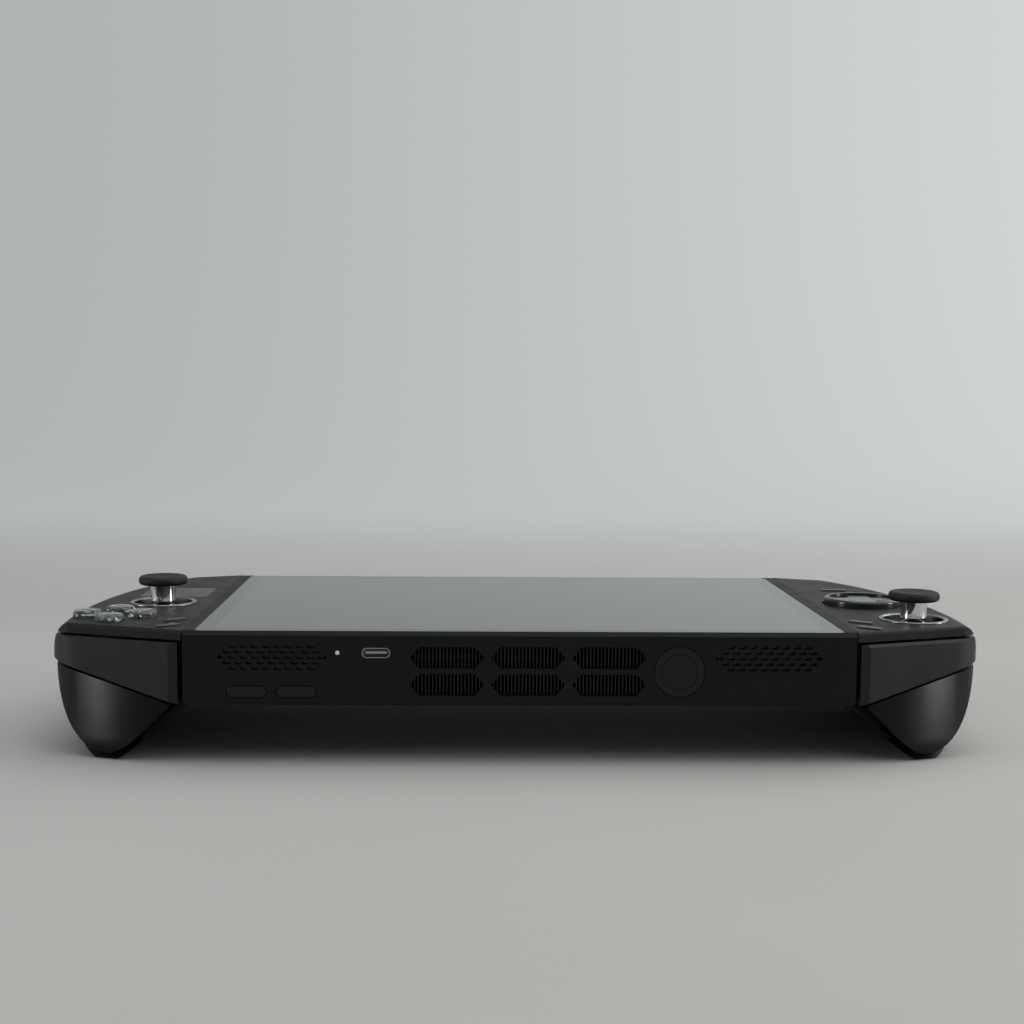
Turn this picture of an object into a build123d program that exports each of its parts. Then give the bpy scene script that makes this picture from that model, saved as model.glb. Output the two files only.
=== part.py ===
from build123d import *
from math import acos, asin, cos, radians, sin, tan
import os

os.makedirs("parts", exist_ok=True)

# A handheld game console that lies on its back, screen up. The slab with the screen stands clear of
# the table between two detachable controllers, whose grips carry it. Z is up from the table, X runs
# along the long side and -Y is the top edge of the console, with the vents and the volume buttons.
# The player's left controller is at +X. Lengths are millimetres and angles are degrees.

# Driving sizes of the whole console
overall_width = 295.6
module_width = 206.0
module_depth = 136.7
module_height = 22.95
face_height = 42.25
side_button_proud = 0.2
overrun = 1.0

# Reference planes worked out from them
module_half = module_width / 2
module_bottom = face_height - module_height
front_y = -(module_depth - side_button_proud) / 2
back_y = front_y + module_depth
controller_width = overall_width / 2 - module_half

# Housing: top frame and four walls of the slab
side_wall = 5.0
front_wall = 2.0
bottom_edge_radius = 1.4
top_edge_chamfer = 1.35
ledge_width = 2.2
ledge_thickness = 1.6
screw_boss_radius = 3.6
screw_boss_root = 0.6

# Glass and display
glass_side_margin = 3.3
glass_front_margin = 1.2
glass_thickness = 1.1
glass_sink = 0.1
glass_corner_radius = 2.0
display_thickness = 1.6
seat_gap = 0.1
part_gap = 0.15
button_gap = 0.25
running_gap = 0.05

# Mid frame that carries display, board and bosses
mid_frame_thickness = 1.2
mid_frame_boss_radius = 2.2
mid_frame_window_width = 60.0
mid_frame_window_depth = 30.0

# Back cover, flush in the bottom of the housing
cover_thickness = 1.8
grille_radius = 17.0
grille_slot_width = 1.6
grille_slot_pitch = 3.2

# Kickstand and its recess in the back cover
kickstand_width = 150.0
kickstand_depth = 65.7
kickstand_thickness = 2.2
kickstand_back = 64.3
kickstand_pin_radius = 0.5
kickstand_recess_depth = 2.5
kickstand_pan_wall = 2.2
kickstand_pan_floor = 1.5
kickstand_notch_radius = 9.0
kickstand_end_gap = 0.4

# Speaker grilles: rows of pill holes, and the drivers behind them
grille_centre_out = 76.0
grille_drop = 8.05
grille_row_counts = (8, 9, 10, 9, 8)
grille_hole_length = 2.4
grille_hole_height = 1.05
grille_hole_pitch = 3.4
grille_row_pitch = 1.7
speaker_width = 28.0
speaker_height = 7.4
speaker_depth = 10.6
speaker_cone_radius = 3.1
speaker_cone_depth = 1.6

# Vents: two rows of three pointed slots over the fins of the heat sink
vent_width = 22.8
vent_height = 6.8
vent_tip = 2.9
vent_pitch = 24.85
vent_centre_x = 2.0
vent_upper_drop = 8.1
vent_lower_drop = 16.5
fin_pitch = 1.1
fin_thickness = 0.3
fin_plate = 0.5
fin_depth = 9.8
fin_block_margin = 1.2
fin_block_height = 16.6
fin_block_foot = 2.1
pipe_width = 6.0
pipe_height = 2.0
pipe_gap = 12.0

# Socket, status light and side buttons on the top edge
usb_x = -44.4
usb_drop = 6.65
usb_width = 8.9
usb_height = 3.3
usb_fit = 0.1
usb_wall = 0.25
usb_depth = 7.4
usb_tongue_width = 6.4
usb_tongue_height = 0.7
usb_tongue_sink = 0.8
light_x = -56.1
light_drop = 6.6
light_radius = 0.65
light_length = 6.0
light_foot = 1.6
volume_outer_x = -83.75
volume_inner_x = -68.55
volume_drop = 18.75
volume_width = 11.7
volume_height = 3.4
volume_flange = 0.8
volume_travel = 0.4
power_x = 48.45
power_drop = 12.3
power_hole_radius = 8.0
power_ring_radius = 5.75
power_ring_width = 0.35
power_ring_depth = 0.3
power_sink = 0.1
switch_size = 3.0
switch_gap = 0.6

# Fan, board and battery inside the slab
fan_height = 9.0
fan_front = 12.6
fan_depth = 43.6
fan_wall = 1.2
fan_rotor_radius = 19.0
fan_rotor_height = 5.4
fan_hub_radius = 8.0
fan_blade_count = 29
fan_blade_thickness = 0.6
fan_spindle_radius = 1.0
fan_tip_gap = 1.2
board_thickness = 1.2
board_lift = 12.3
board_width = 124.0
board_front = 13.0
board_depth = 49.0
board_tab_margin = 6.5
chip_size = 26.0
chip_height = 1.4
cold_plate_height = 1.6
memory_length = 42.0
memory_width = 22.0
memory_height = 2.4
cell_width = 82.0
cell_depth = 61.0
cell_height = 7.0
cell_gap = 4.0
cell_radius = 1.5
screw_head_radius = 1.9
screw_head_height = 1.2
screw_radius = 1.0
screw_length = 8.0

# Controller form: eight cross sections along the console's depth. Each row gives the place as a
# share of the module's depth, then the width of the flat top, the greatest width and the ridge as
# shares of the controller's width, and the drop of the widest point and the ridge's height as
# shares of the face height.
grip_station_shares = (
    (-0.030, 0.804, 0.942, 0.558, 0.272, 0.000),
    (0.088, 0.826, 0.970, 0.567, 0.272, 0.000),
    (0.205, 0.853, 0.996, 0.576, 0.284, 0.000),
    (0.402, 0.846, 0.988, 0.571, 0.284, 0.000),
    (0.600, 0.768, 0.906, 0.531, 0.284, 0.000),
    (0.761, 0.638, 0.772, 0.460, 0.284, 0.095),
    (0.892, 0.469, 0.589, 0.344, 0.272, 0.225),
    (1.024, 0.201, 0.304, 0.156, 0.260, 0.355),
)
top_round_share = 0.55
side_round_share = 0.58
low_round_share = 0.30
low_inner_share = 0.29
low_rise_share = 0.145
low_slope_share = 1.25
grip_inner_drop = 26.0
ridge_sink = 0.4
seam_gap = 0.15
shell_wall = 2.0
inner_wall = 1.6
top_wall = 2.0
parting_drop = 12.4

# Nose of the controller, square to a slanted front
slant = 20.8
nose_corner_share = 0.77
nose_round_share = 0.88
nose_side_share = 0.135
nose_side_end_share = 0.20
tail_corner_out_share = 0.58
tail_corner_depth_share = 0.915
tail_side_depth_share = 0.80
nose_round_height = 7.0
nose_round_depth = 3.0
nose_pull_share = 0.6
nose_depth = 11.0
lip_front = 1.6
lip_lean = 60.0
shoulder_height = 3.1
shoulder_sink = 0.3
shoulder_edge_radius = 0.9
seam_edge_radius = 0.45

# Bumper
bumper_gap = 0.9
bumper_inner = 1.9
bumper_plate = 3.8
bumper_depth = 10.0
bumper_end_out = 39.5
bumper_bevel_width = 3.2
bumper_bevel_depth = 1.6
bumper_top_bevel = 0.9
bumper_top_bevel_depth = 0.6
bumper_pin_out = 5.4
bumper_pin_back = 6.6
bumper_pin_radius = 1.0
bumper_boss_radius = 2.0
bumper_lug_height = 1.3
bumper_lug_half = 2.0
diagonal_inner_out = 3.0
diagonal_inner_drop = 23.1
diagonal_tilt = 14.8
diagonal_gap = 0.7

# Trigger
trigger_side_inset = 1.8
trigger_low_inset = 2.5
trigger_slope_inset = 1.4
trigger_wall = 1.8
trigger_face = 2.2
trigger_depth = 10.4
trigger_inner_out = 4.8
trigger_axis_back = 7.5
trigger_axis_drop = 12.0
trigger_arm_width = 2.5
trigger_arm_radius = 2.5
trigger_arm_inner = 11.6
trigger_arm_outer = 22.4
trigger_pin_radius = 1.0
bracket_thickness = 1.5
bracket_gap = 0.5
bracket_front = 4.9
bracket_radius = 2.8
bracket_rise = 6.8
throat_side_wall = 1.3
throat_low_wall = 1.3
throat_depth = 24.0
bulkhead_wall = 1.6

# Slide rail of each controller and its channel in the housing
rail_drop = 11.5
rail_web_height = 4.4
rail_head_height = 7.2
rail_web_depth = 1.2
rail_head_depth = 1.2
rail_start = 25.0
rail_end_margin = 4.0
rail_gap = 0.3

# Stick: gimbal, shaft and cap. Heights are above the pivot point.
stick_pivot_drop = 8.0
stick_ring_radius = 11.1
stick_ring_bore = 9.7
stick_ring_proud = 0.5
stick_ring_skirt = 2.9
stick_ring_flange = 0.9
stick_ring_lip = 0.4
dome_radius = 8.2
dome_thickness = 1.0
dome_height = 4.1
gimbal_outer = 9.6
gimbal_inner = 7.4
gimbal_thickness = 2.4
gimbal_pin_radius = 0.8
gimbal_pin_reach = 6.5
hub_size = 5.0
hub_foot = 1.2
post_inner = 5.2
post_outer = 6.6
post_width = 3.2
post_head = 1.6
stem_radius = 1.5
shaft_start = 8.8
shaft_end = 14.2
shaft_radius = 4.2
shaft_waist_radius = 4.1
shaft_top_radius = 4.35
cap_radius = 8.15
cap_height = 3.0
cap_round = 1.3
cap_dish_depth = 0.7
cap_dish_radius = 6.3

# Where the controls stand on each controller, outward from the seam and back from the near edge
left_stick_out = 25.4
left_stick_back = 29.0
right_stick_out = 16.8
right_stick_back = 61.0
dpad_out = 17.5
dpad_back = 64.5
face_button_out = 26.5
face_button_back = 30.0
face_button_spread = 8.7
pill_out = 6.1
left_upper_pill_back = 20.7
left_lower_pill_back = 9.3
right_upper_pill_back = 21.0
right_lower_pill_back = 9.4
home_out = 15.5
home_back = 98.5
touchpad_out = 16.2
touchpad_back = 87.2

# Buttons on the faceplate
face_button_radius = 4.65
face_button_proud = 2.0
face_button_flange = 0.6
face_button_skirt = 3.8
face_button_travel = 1.0
face_button_edge = 1.2
pill_length = 8.2
pill_turn = -38.0
pill_width = 2.6
pill_proud = 0.5
pill_flange = 0.3
pill_skirt = 3.2
pill_travel = 0.5
pill_edge = 0.25
flange_height = 0.6
home_length = 9.4
touchpad_width = 23.5
touchpad_depth = 24.0
touchpad_thickness = 1.5
touchpad_radius = 2.4
touchpad_sink = 0.05

# D-pad: a dished disc with a raised cross, on a small two-way pivot
dpad_radius = 13.0
dpad_gap = 0.6
dpad_proud = 2.35
dpad_plate = 3.6
dpad_edge = 0.9
dpad_dish_radius = 11.2
dpad_dish_depth = 0.7
dpad_arm_width = 7.4
dpad_quadrant_depth = 0.6
dpad_quadrant_radius = 9.8
dpad_pivot_drop = 7.0
dpad_pivot_size = 3.0
dpad_pin_radius = 0.6
dpad_pin_reach = 3.4
dpad_ear_inner = 1.9
dpad_ear_outer = 3.2
dpad_ear_width = 2.6
dpad_ear_foot = 1.3

# Controller board, battery and release button
pad_board_drop = 12.0
pad_board_thickness = 1.2
pad_board_inner_margin = 1.0
pad_board_side_margin = 4.6
pad_board_end = 112.0
pad_board_front = 13.6
dome_pad_radius = 2.6
dome_pad_gap = 0.2
board_post_radius = 2.6
board_post_near = 44.0
board_post_far = 89.0
board_post_out = 8.0
pad_cell_width = 13.0
pad_cell_depth = 44.0
pad_cell_height = 9.0
pad_cell_out = 21.5
pad_cell_back = 68.0
pad_cell_lift = 9.0
pad_cell_radius = 2.0
cradle_width = 2.0
cradle_count = 3
release_out = 9.0
release_back = 104.0
release_length = 12.0
release_width = 5.0
release_height = 8.0
release_flange = 0.8


def save(part, name):
    """Label a finished piece and write it under its own name."""
    part.label = name
    export_step(part, f"parts/{name}.step")


def place(out, back):
    """A point on a controller, from the seam outward and from the near edge back."""
    return module_half + out, front_y + back


def on_side(part, side):
    """The piece as modelled for +X, or its mirror image for the controller at -X."""
    with BuildPart() as placed:
        if side > 0:
            add(part)
        else:
            mirror(part, about=Plane.YZ)
    return placed.part


# Heights inside the slab, from the glass down
glass_top = face_height - glass_sink
glass_bottom = glass_top - glass_thickness
ledge_top = glass_bottom - seat_gap / 2
ledge_bottom = ledge_top - ledge_thickness
display_top = glass_bottom - seat_gap
display_bottom = display_top - display_thickness
mid_frame_top = ledge_bottom - seat_gap
mid_frame_bottom = mid_frame_top - mid_frame_thickness
cover_top = module_bottom + cover_thickness
board_bottom = module_bottom + board_lift
board_top = board_bottom + board_thickness
glass_half = module_half - glass_side_margin
glass_front = front_y + glass_front_margin
glass_back = back_y - glass_front_margin
inner_half = module_half - side_wall
inner_front = front_y + front_wall
inner_back = back_y - front_wall
slab_mid_y = (front_y + back_y) / 2
window_half = glass_half - ledge_width - part_gap
window_front = glass_front + ledge_width + part_gap
window_back = glass_back - ledge_width - part_gap
screw_out = screw_boss_radius - screw_boss_root
screw_places = [
    (x, y)
    for x in (-inner_half + screw_out, inner_half - screw_out)
    for y in (inner_front + screw_out, slab_mid_y, inner_back - screw_out)
]
front_face = Plane(origin=(0, front_y, face_height), x_dir=(1, 0, 0), z_dir=(0, -1, 0))
pan_front = front_y + kickstand_back - kickstand_end_gap
pan_back = front_y + kickstand_back + kickstand_depth + kickstand_end_gap
kickstand_axis_y = front_y + kickstand_back + kickstand_thickness / 2
kickstand_axis_z = module_bottom + kickstand_thickness / 2


def block(x_from, x_to, y_from, y_to, z_from, z_to, mode=Mode.ADD):
    """A box given by its two corners."""
    with BuildSketch(Plane.XY.offset(z_from)) as outline:
        with Locations(((x_from + x_to) / 2, (y_from + y_to) / 2)):
            Rectangle(x_to - x_from, y_to - y_from)
    extrude(outline.sketch, amount=z_to - z_from, mode=mode)


def rod(x, y, z_from, z_to, radius, mode=Mode.ADD):
    """An upright cylinder."""
    with BuildSketch(Plane.XY.offset(z_from)) as outline:
        with Locations((x, y)):
            Circle(radius)
    extrude(outline.sketch, amount=z_to - z_from, mode=mode)


def bar(start, end, radius, mode=Mode.ADD):
    """A round bar between two points."""
    run = Vector(*end) - Vector(*start)
    with BuildSketch(Plane(origin=start, z_dir=run)) as outline:
        Circle(radius)
    extrude(outline.sketch, amount=run.length, mode=mode)


# The slab: housing with its front openings
with BuildPart() as housing:
    with BuildSketch(Plane.XY.offset(module_bottom)):
        with Locations((0, slab_mid_y)):
            Rectangle(module_width, module_depth)
    extrude(amount=module_height)
    fillet(housing.edges().group_by(Axis.Z)[0], bottom_edge_radius)
    rim = housing.faces().sort_by(Axis.Z)[-1].edges().filter_by(Axis.X)
    chamfer(rim, top_edge_chamfer)
    block(-inner_half, inner_half, inner_front, inner_back, module_bottom, ledge_bottom, Mode.SUBTRACT)
    block(-window_half, window_half, window_front, window_back, module_bottom, face_height, Mode.SUBTRACT)
    with BuildSketch(Plane.XY.offset(ledge_top)):
        with Locations((0, (glass_front + glass_back) / 2)):
            RectangleRounded(2 * (glass_half + seat_gap), glass_back - glass_front + 2 * seat_gap,
                             glass_corner_radius)
    extrude(amount=module_height, mode=Mode.SUBTRACT)
    for x, y in screw_places:
        rod(x, y, cover_top + seat_gap, mid_frame_bottom - seat_gap, screw_boss_radius)
        rod(x, y, cover_top, cover_top + screw_length, screw_radius + running_gap, Mode.SUBTRACT)
    # Speaker grilles
    with BuildSketch(front_face):
        for centre in (-grille_centre_out, grille_centre_out):
            for row, count in enumerate(grille_row_counts):
                height = (row - (len(grille_row_counts) - 1) / 2) * grille_row_pitch - grille_drop
                with Locations((centre, height)):
                    with GridLocations(grille_hole_pitch, grille_row_pitch, count, 1):
                        SlotOverall(grille_hole_length, grille_hole_height)
    extrude(amount=front_wall + overrun, both=True, mode=Mode.SUBTRACT)
    # Vents
    with BuildSketch(front_face):
        for drop in (vent_upper_drop, vent_lower_drop):
            with Locations((vent_centre_x, -drop)):
                with GridLocations(vent_pitch, vent_height, 3, 1):
                    Polygon((-vent_width / 2, 0), (-vent_width / 2 + vent_tip, -vent_height / 2),
                            (vent_width / 2 - vent_tip, -vent_height / 2), (vent_width / 2, 0),
                            (vent_width / 2 - vent_tip, vent_height / 2),
                            (-vent_width / 2 + vent_tip, vent_height / 2), align=None)
    extrude(amount=front_wall + overrun, both=True, mode=Mode.SUBTRACT)
    # Socket, status light, volume and power openings
    with BuildSketch(front_face):
        with Locations((usb_x, -usb_drop)):
            SlotOverall(usb_width, usb_height)
        with Locations((light_x, -light_drop)):
            Circle(light_radius + running_gap)
        with Locations((volume_outer_x, -volume_drop), (volume_inner_x, -volume_drop)):
            SlotOverall(volume_width + 2 * button_gap, volume_height + 2 * button_gap)
        with Locations((power_x, -power_drop)):
            Circle(power_hole_radius)
    extrude(amount=front_wall + overrun, both=True, mode=Mode.SUBTRACT)
    # Channels for the controllers' rails, open at the lower edge
    channel_z = face_height - rail_drop
    channel_front = front_y + rail_start - rail_gap
    web_half = rail_web_height / 2 + rail_gap
    head_half = rail_head_height / 2 + rail_gap
    channel_neck = module_half - rail_web_depth + rail_gap
    channel_floor = module_half - rail_web_depth - rail_head_depth - rail_gap
    for side in (-1, 1):
        neck = sorted((side * channel_floor, side * (module_half + overrun)))
        head = sorted((side * channel_floor, side * channel_neck))
        block(*neck, channel_front, back_y + overrun, channel_z - web_half, channel_z + web_half,
              Mode.SUBTRACT)
        block(*head, channel_front, back_y + overrun, channel_z - head_half, channel_z + head_half,
              Mode.SUBTRACT)
save(housing.part, "housing")

with BuildPart() as cover_glass:
    with BuildSketch(Plane.XY.offset(glass_bottom)):
        with Locations((0, (glass_front + glass_back) / 2)):
            RectangleRounded(2 * glass_half, glass_back - glass_front, glass_corner_radius)
    extrude(amount=glass_thickness)
save(cover_glass.part, "cover_glass")

with BuildPart() as display_panel:
    block(-window_half + part_gap, window_half - part_gap, window_front + part_gap,
          window_back - part_gap, display_bottom, display_top)
save(display_panel.part, "display_panel")

# Mid frame: plate under the display with bosses that carry the motherboard
board_left = vent_centre_x - board_width / 2
board_right = vent_centre_x + board_width / 2
board_near = front_y + board_front
board_far = board_near + board_depth
boss_margin = 2 * mid_frame_boss_radius
boss_places = [
    (x, y)
    for x in (board_left + boss_margin, board_right - boss_margin)
    for y in (board_near + boss_margin, board_far - boss_margin)
]
with BuildPart() as mid_frame:
    block(-inner_half + part_gap, inner_half - part_gap, inner_front + part_gap,
          inner_back - part_gap, mid_frame_bottom, mid_frame_top)
    for side in (-1, 1):
        middle = side * (mid_frame_window_width / 2 + screw_boss_radius)
        block(middle - mid_frame_window_width / 2, middle + mid_frame_window_width / 2,
              slab_mid_y + mid_frame_window_depth / 2, slab_mid_y + mid_frame_window_depth * 3 / 2,
              mid_frame_bottom, mid_frame_top, Mode.SUBTRACT)
    for x, y in boss_places:
        rod(x, y, board_top + seat_gap, mid_frame_bottom, mid_frame_boss_radius)
save(mid_frame.part, "mid_frame")

# Back cover with the intake grille and the kickstand's recess
fan_x = vent_centre_x
fan_near = front_y + fan_front
fan_far = fan_near + fan_depth
fan_y = (fan_near + fan_far) / 2
with BuildPart() as back_cover:
    block(-inner_half + part_gap, inner_half - part_gap, inner_front + part_gap,
          inner_back - part_gap, module_bottom, cover_top)
    pan_half = kickstand_width / 2 + kickstand_end_gap
    block(-pan_half - kickstand_pan_wall, pan_half + kickstand_pan_wall, pan_front - kickstand_pan_wall,
          pan_back + kickstand_pan_wall, module_bottom,
          module_bottom + kickstand_recess_depth + kickstand_pan_floor)
    block(-pan_half, pan_half, pan_front, pan_back, module_bottom,
          module_bottom + kickstand_recess_depth, Mode.SUBTRACT)
    bar((-pan_half - kickstand_pan_wall / 2, kickstand_axis_y, kickstand_axis_z),
        (pan_half + kickstand_pan_wall / 2, kickstand_axis_y, kickstand_axis_z),
        kickstand_pin_radius + running_gap, Mode.SUBTRACT)
    slot_count = int(2 * grille_radius / grille_slot_pitch) + 1
    with BuildSketch(Plane.XY.offset(module_bottom)):
        for index in range(slot_count):
            shift = (index - (slot_count - 1) / 2) * grille_slot_pitch
            length = 2 * (grille_radius ** 2 - shift ** 2) ** 0.5
            if length > 2 * grille_slot_width:
                with Locations((fan_x + shift, fan_y)):
                    SlotOverall(length, grille_slot_width, rotation=90)
    extrude(amount=cover_thickness, mode=Mode.SUBTRACT)
    for x, y in screw_places:
        rod(x, y, module_bottom, cover_top, screw_radius + part_gap, Mode.SUBTRACT)
        rod(x, y, module_bottom, module_bottom + screw_head_height, screw_head_radius + part_gap,
            Mode.SUBTRACT)
save(back_cover.part, "back_cover")

with BuildPart() as housing_screws:
    for x, y in screw_places:
        rod(x, y, module_bottom, module_bottom + screw_head_height - seat_gap, screw_head_radius)
        rod(x, y, module_bottom, cover_top + screw_length - seat_gap, screw_radius)
        with BuildSketch(Plane.XY.offset(module_bottom)):
            with Locations((x, y)):
                RegularPolygon(screw_radius, 6)
        extrude(amount=screw_head_height / 2, mode=Mode.SUBTRACT)
save(housing_screws.part, "housing_screws")

# Kickstand: a plate that lies in the recess and turns about a long pin
kickstand_half = kickstand_width / 2
with BuildPart() as kickstand:
    block(-kickstand_half, kickstand_half, kickstand_axis_y, kickstand_axis_y + kickstand_depth
          - kickstand_thickness / 2, module_bottom, module_bottom + kickstand_thickness)
    bar((-kickstand_half, kickstand_axis_y, kickstand_axis_z),
        (kickstand_half, kickstand_axis_y, kickstand_axis_z), kickstand_thickness / 2)
    bar((-kickstand_half, kickstand_axis_y, kickstand_axis_z),
        (kickstand_half, kickstand_axis_y, kickstand_axis_z), kickstand_pin_radius + running_gap,
        Mode.SUBTRACT)
    rod(0, front_y + kickstand_back + kickstand_depth, module_bottom,
        module_bottom + kickstand_thickness, kickstand_notch_radius, Mode.SUBTRACT)
save(kickstand.part, "kickstand")

with BuildPart() as kickstand_pin:
    pin_half = pan_half + kickstand_pan_wall / 2 - seat_gap
    bar((-pin_half, kickstand_axis_y, kickstand_axis_z),
        (pin_half, kickstand_axis_y, kickstand_axis_z), kickstand_pin_radius)
save(kickstand_pin.part, "kickstand_pin")

with BuildPart() as speakers:
    for side in (-1, 1):
        centre = side * grille_centre_out
        middle_z = face_height - grille_drop
        block(centre - speaker_width / 2, centre + speaker_width / 2, inner_front + seat_gap,
              inner_front + seat_gap + speaker_depth, middle_z - speaker_height / 2,
              middle_z + speaker_height / 2)
        for shift in (-speaker_width / 4, speaker_width / 4):
            bar((centre + shift, inner_front + seat_gap, middle_z),
                (centre + shift, inner_front + seat_gap + speaker_cone_depth, middle_z),
                speaker_cone_radius, Mode.SUBTRACT)
save(speakers.part, "speakers")

# Heat sink: a comb of fins behind the vents, two heat pipes and the plate on the processor
fin_half = (vent_pitch * 2 + vent_width) / 2 + fin_block_margin
fin_bottom = module_bottom + fin_block_foot
fin_top = fin_bottom + fin_block_height
fin_near = inner_front + seat_gap
fin_far = fin_near + fin_depth
fin_count = int(2 * (fin_half - fin_thickness) / fin_pitch)
chip_y = fan_y
pipe_bottom = board_top + chip_height + seat_gap + cold_plate_height
with BuildPart() as heat_sink:
    block(fan_x - fin_half, fan_x + fin_half, fin_near, fin_far, fin_bottom, fin_top)
    with BuildSketch(Plane.XZ.offset(-fin_near)):
        with Locations((fan_x, (fin_bottom + fin_top) / 2)):
            with GridLocations(fin_pitch, fin_pitch, fin_count, 1):
                Rectangle(fin_pitch - fin_thickness, fin_block_height - 2 * fin_plate)
    extrude(amount=-fin_depth, mode=Mode.SUBTRACT)
    block(fan_x - chip_size / 2, fan_x + chip_size / 2, chip_y - chip_size / 2, chip_y + chip_size / 2,
          pipe_bottom - cold_plate_height, pipe_bottom)
    for shift in (-pipe_gap / 2, pipe_gap / 2):
        block(fan_x + shift - pipe_width / 2, fan_x + shift + pipe_width / 2, fin_far - fin_plate,
              chip_y + chip_size / 2, pipe_bottom, pipe_bottom + pipe_height)
    block(fan_x - fin_half + fin_plate, fan_x + fin_half - fin_plate, fin_far, fin_far + pipe_width,
          pipe_bottom, pipe_bottom + pipe_height)
save(heat_sink.part, "heat_sink")

# Fan: a flat scroll under the board that blows through the fins
fan_bottom = cover_top + seat_gap
fan_top = fan_bottom + fan_height
fan_half = fin_half
rotor_bottom = fan_bottom + (fan_height - fan_rotor_height) / 2
with BuildPart() as fan_housing:
    block(fan_x - fan_half, fan_x + fan_half, fan_near, fan_far, fan_bottom, fan_top)
    block(fan_x - fan_half + fan_wall, fan_x + fan_half - fan_wall, fan_near, fan_y,
          fan_bottom + fan_wall, fan_top - fan_wall, Mode.SUBTRACT)
    rod(fan_x, fan_y, fan_bottom + fan_wall, fan_top - fan_wall, fan_rotor_radius + fan_tip_gap,
        Mode.SUBTRACT)
    rod(fan_x, fan_y, fan_bottom, fan_bottom + fan_wall, grille_radius, Mode.SUBTRACT)
    rod(fan_x, fan_y, rotor_bottom + running_gap, fan_top - fan_wall, fan_spindle_radius)
save(fan_housing.part, "fan_housing")

with BuildPart() as fan_rotor:
    rod(fan_x, fan_y, rotor_bottom, rotor_bottom + fan_rotor_height, fan_hub_radius)
    rod(fan_x, fan_y, rotor_bottom, rotor_bottom + fan_blade_thickness, fan_rotor_radius)
    rod(fan_x, fan_y, rotor_bottom, rotor_bottom + fan_blade_thickness,
        fan_rotor_radius - 2 * fan_blade_thickness, Mode.SUBTRACT)
    with BuildSketch(Plane.XY.offset(rotor_bottom)):
        with Locations((fan_x, fan_y)):
            with PolarLocations((fan_hub_radius + fan_rotor_radius) / 2 - fan_blade_thickness,
                                fan_blade_count):
                Rectangle(fan_rotor_radius - fan_hub_radius, fan_blade_thickness)
    extrude(amount=fan_rotor_height)
    rod(fan_x, fan_y, rotor_bottom, rotor_bottom + fan_rotor_height, fan_hub_radius)
    rod(fan_x, fan_y, rotor_bottom, rotor_bottom + fan_rotor_height, fan_spindle_radius + running_gap,
        Mode.SUBTRACT)
save(fan_rotor.part, "fan_rotor")

# Motherboard with processor, memory card and the switches behind the side buttons
button_back = front_y + front_wall + volume_flange + volume_travel + switch_gap
with BuildPart() as motherboard:
    block(board_left, board_right, board_near, board_far, board_bottom, board_top)
    block(light_x - light_foot, usb_x + board_tab_margin, inner_front + overrun, board_near,
          board_bottom, board_top)
    block(fan_x - chip_size / 2, fan_x + chip_size / 2, chip_y - chip_size / 2, chip_y + chip_size / 2,
          board_top, board_top + chip_height)
    block(board_right - boss_margin - memory_length, board_right - boss_margin - mid_frame_boss_radius
          - part_gap, chip_y - memory_width / 2, chip_y + memory_width / 2, board_top,
          board_top + memory_height)
    for x in (volume_outer_x, volume_inner_x):
        block(x - switch_size / 2, x + switch_size / 2, button_back, button_back + switch_size,
              cover_top + seat_gap, face_height - volume_drop + switch_size / 2)
    block(power_x - switch_size, power_x + switch_size, button_back, button_back + switch_size,
          cover_top + seat_gap, face_height - power_drop + switch_size / 2)
save(motherboard.part, "motherboard")

with BuildPart() as battery_pack:
    cell_front = pan_front
    cell_bottom = module_bottom + kickstand_recess_depth + kickstand_pan_floor + seat_gap
    for side in (-1, 1):
        middle = side * (cell_width + cell_gap) / 2
        with BuildSketch(Plane.XY.offset(cell_bottom)):
            with Locations((middle, cell_front + cell_depth / 2)):
                RectangleRounded(cell_width, cell_depth, cell_radius)
        extrude(amount=cell_height)
save(battery_pack.part, "battery_pack")

with BuildPart() as usb_port:
    socket_plane = front_face.offset(-usb_fit)
    with BuildSketch(socket_plane):
        with Locations((usb_x, -usb_drop)):
            SlotOverall(usb_width - 2 * usb_fit, usb_height - 2 * usb_fit)
    extrude(amount=-usb_depth)
    with BuildSketch(socket_plane):
        with Locations((usb_x, -usb_drop)):
            SlotOverall(usb_width - 2 * usb_fit - 2 * usb_wall, usb_height - 2 * usb_fit - 2 * usb_wall)
    extrude(amount=-(usb_depth - usb_wall), mode=Mode.SUBTRACT)
    with BuildSketch(socket_plane.offset(-usb_tongue_sink)):
        with Locations((usb_x, -usb_drop)):
            Rectangle(usb_tongue_width, usb_tongue_height)
    extrude(amount=-(usb_depth - usb_tongue_sink))
    block(usb_x - usb_tongue_width / 2, usb_x + usb_tongue_width / 2, inner_front + overrun,
          front_y + usb_depth, board_top + seat_gap / 2,
          face_height - usb_drop - usb_height / 2 + usb_fit + usb_wall)
save(usb_port.part, "usb_port")

with BuildPart() as status_light:
    bar((light_x, front_y, face_height - light_drop),
        (light_x, front_y + light_length, face_height - light_drop), light_radius)
    block(light_x - light_foot / 2, light_x + light_foot, front_y + light_length - light_foot,
          front_y + light_length + light_foot, board_top + seat_gap / 2,
          face_height - light_drop + light_foot / 2)
save(status_light.part, "status_light")

# Side buttons on the top edge, each with a flange behind the wall
flange_front = front_wall + 2 * seat_gap


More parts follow.
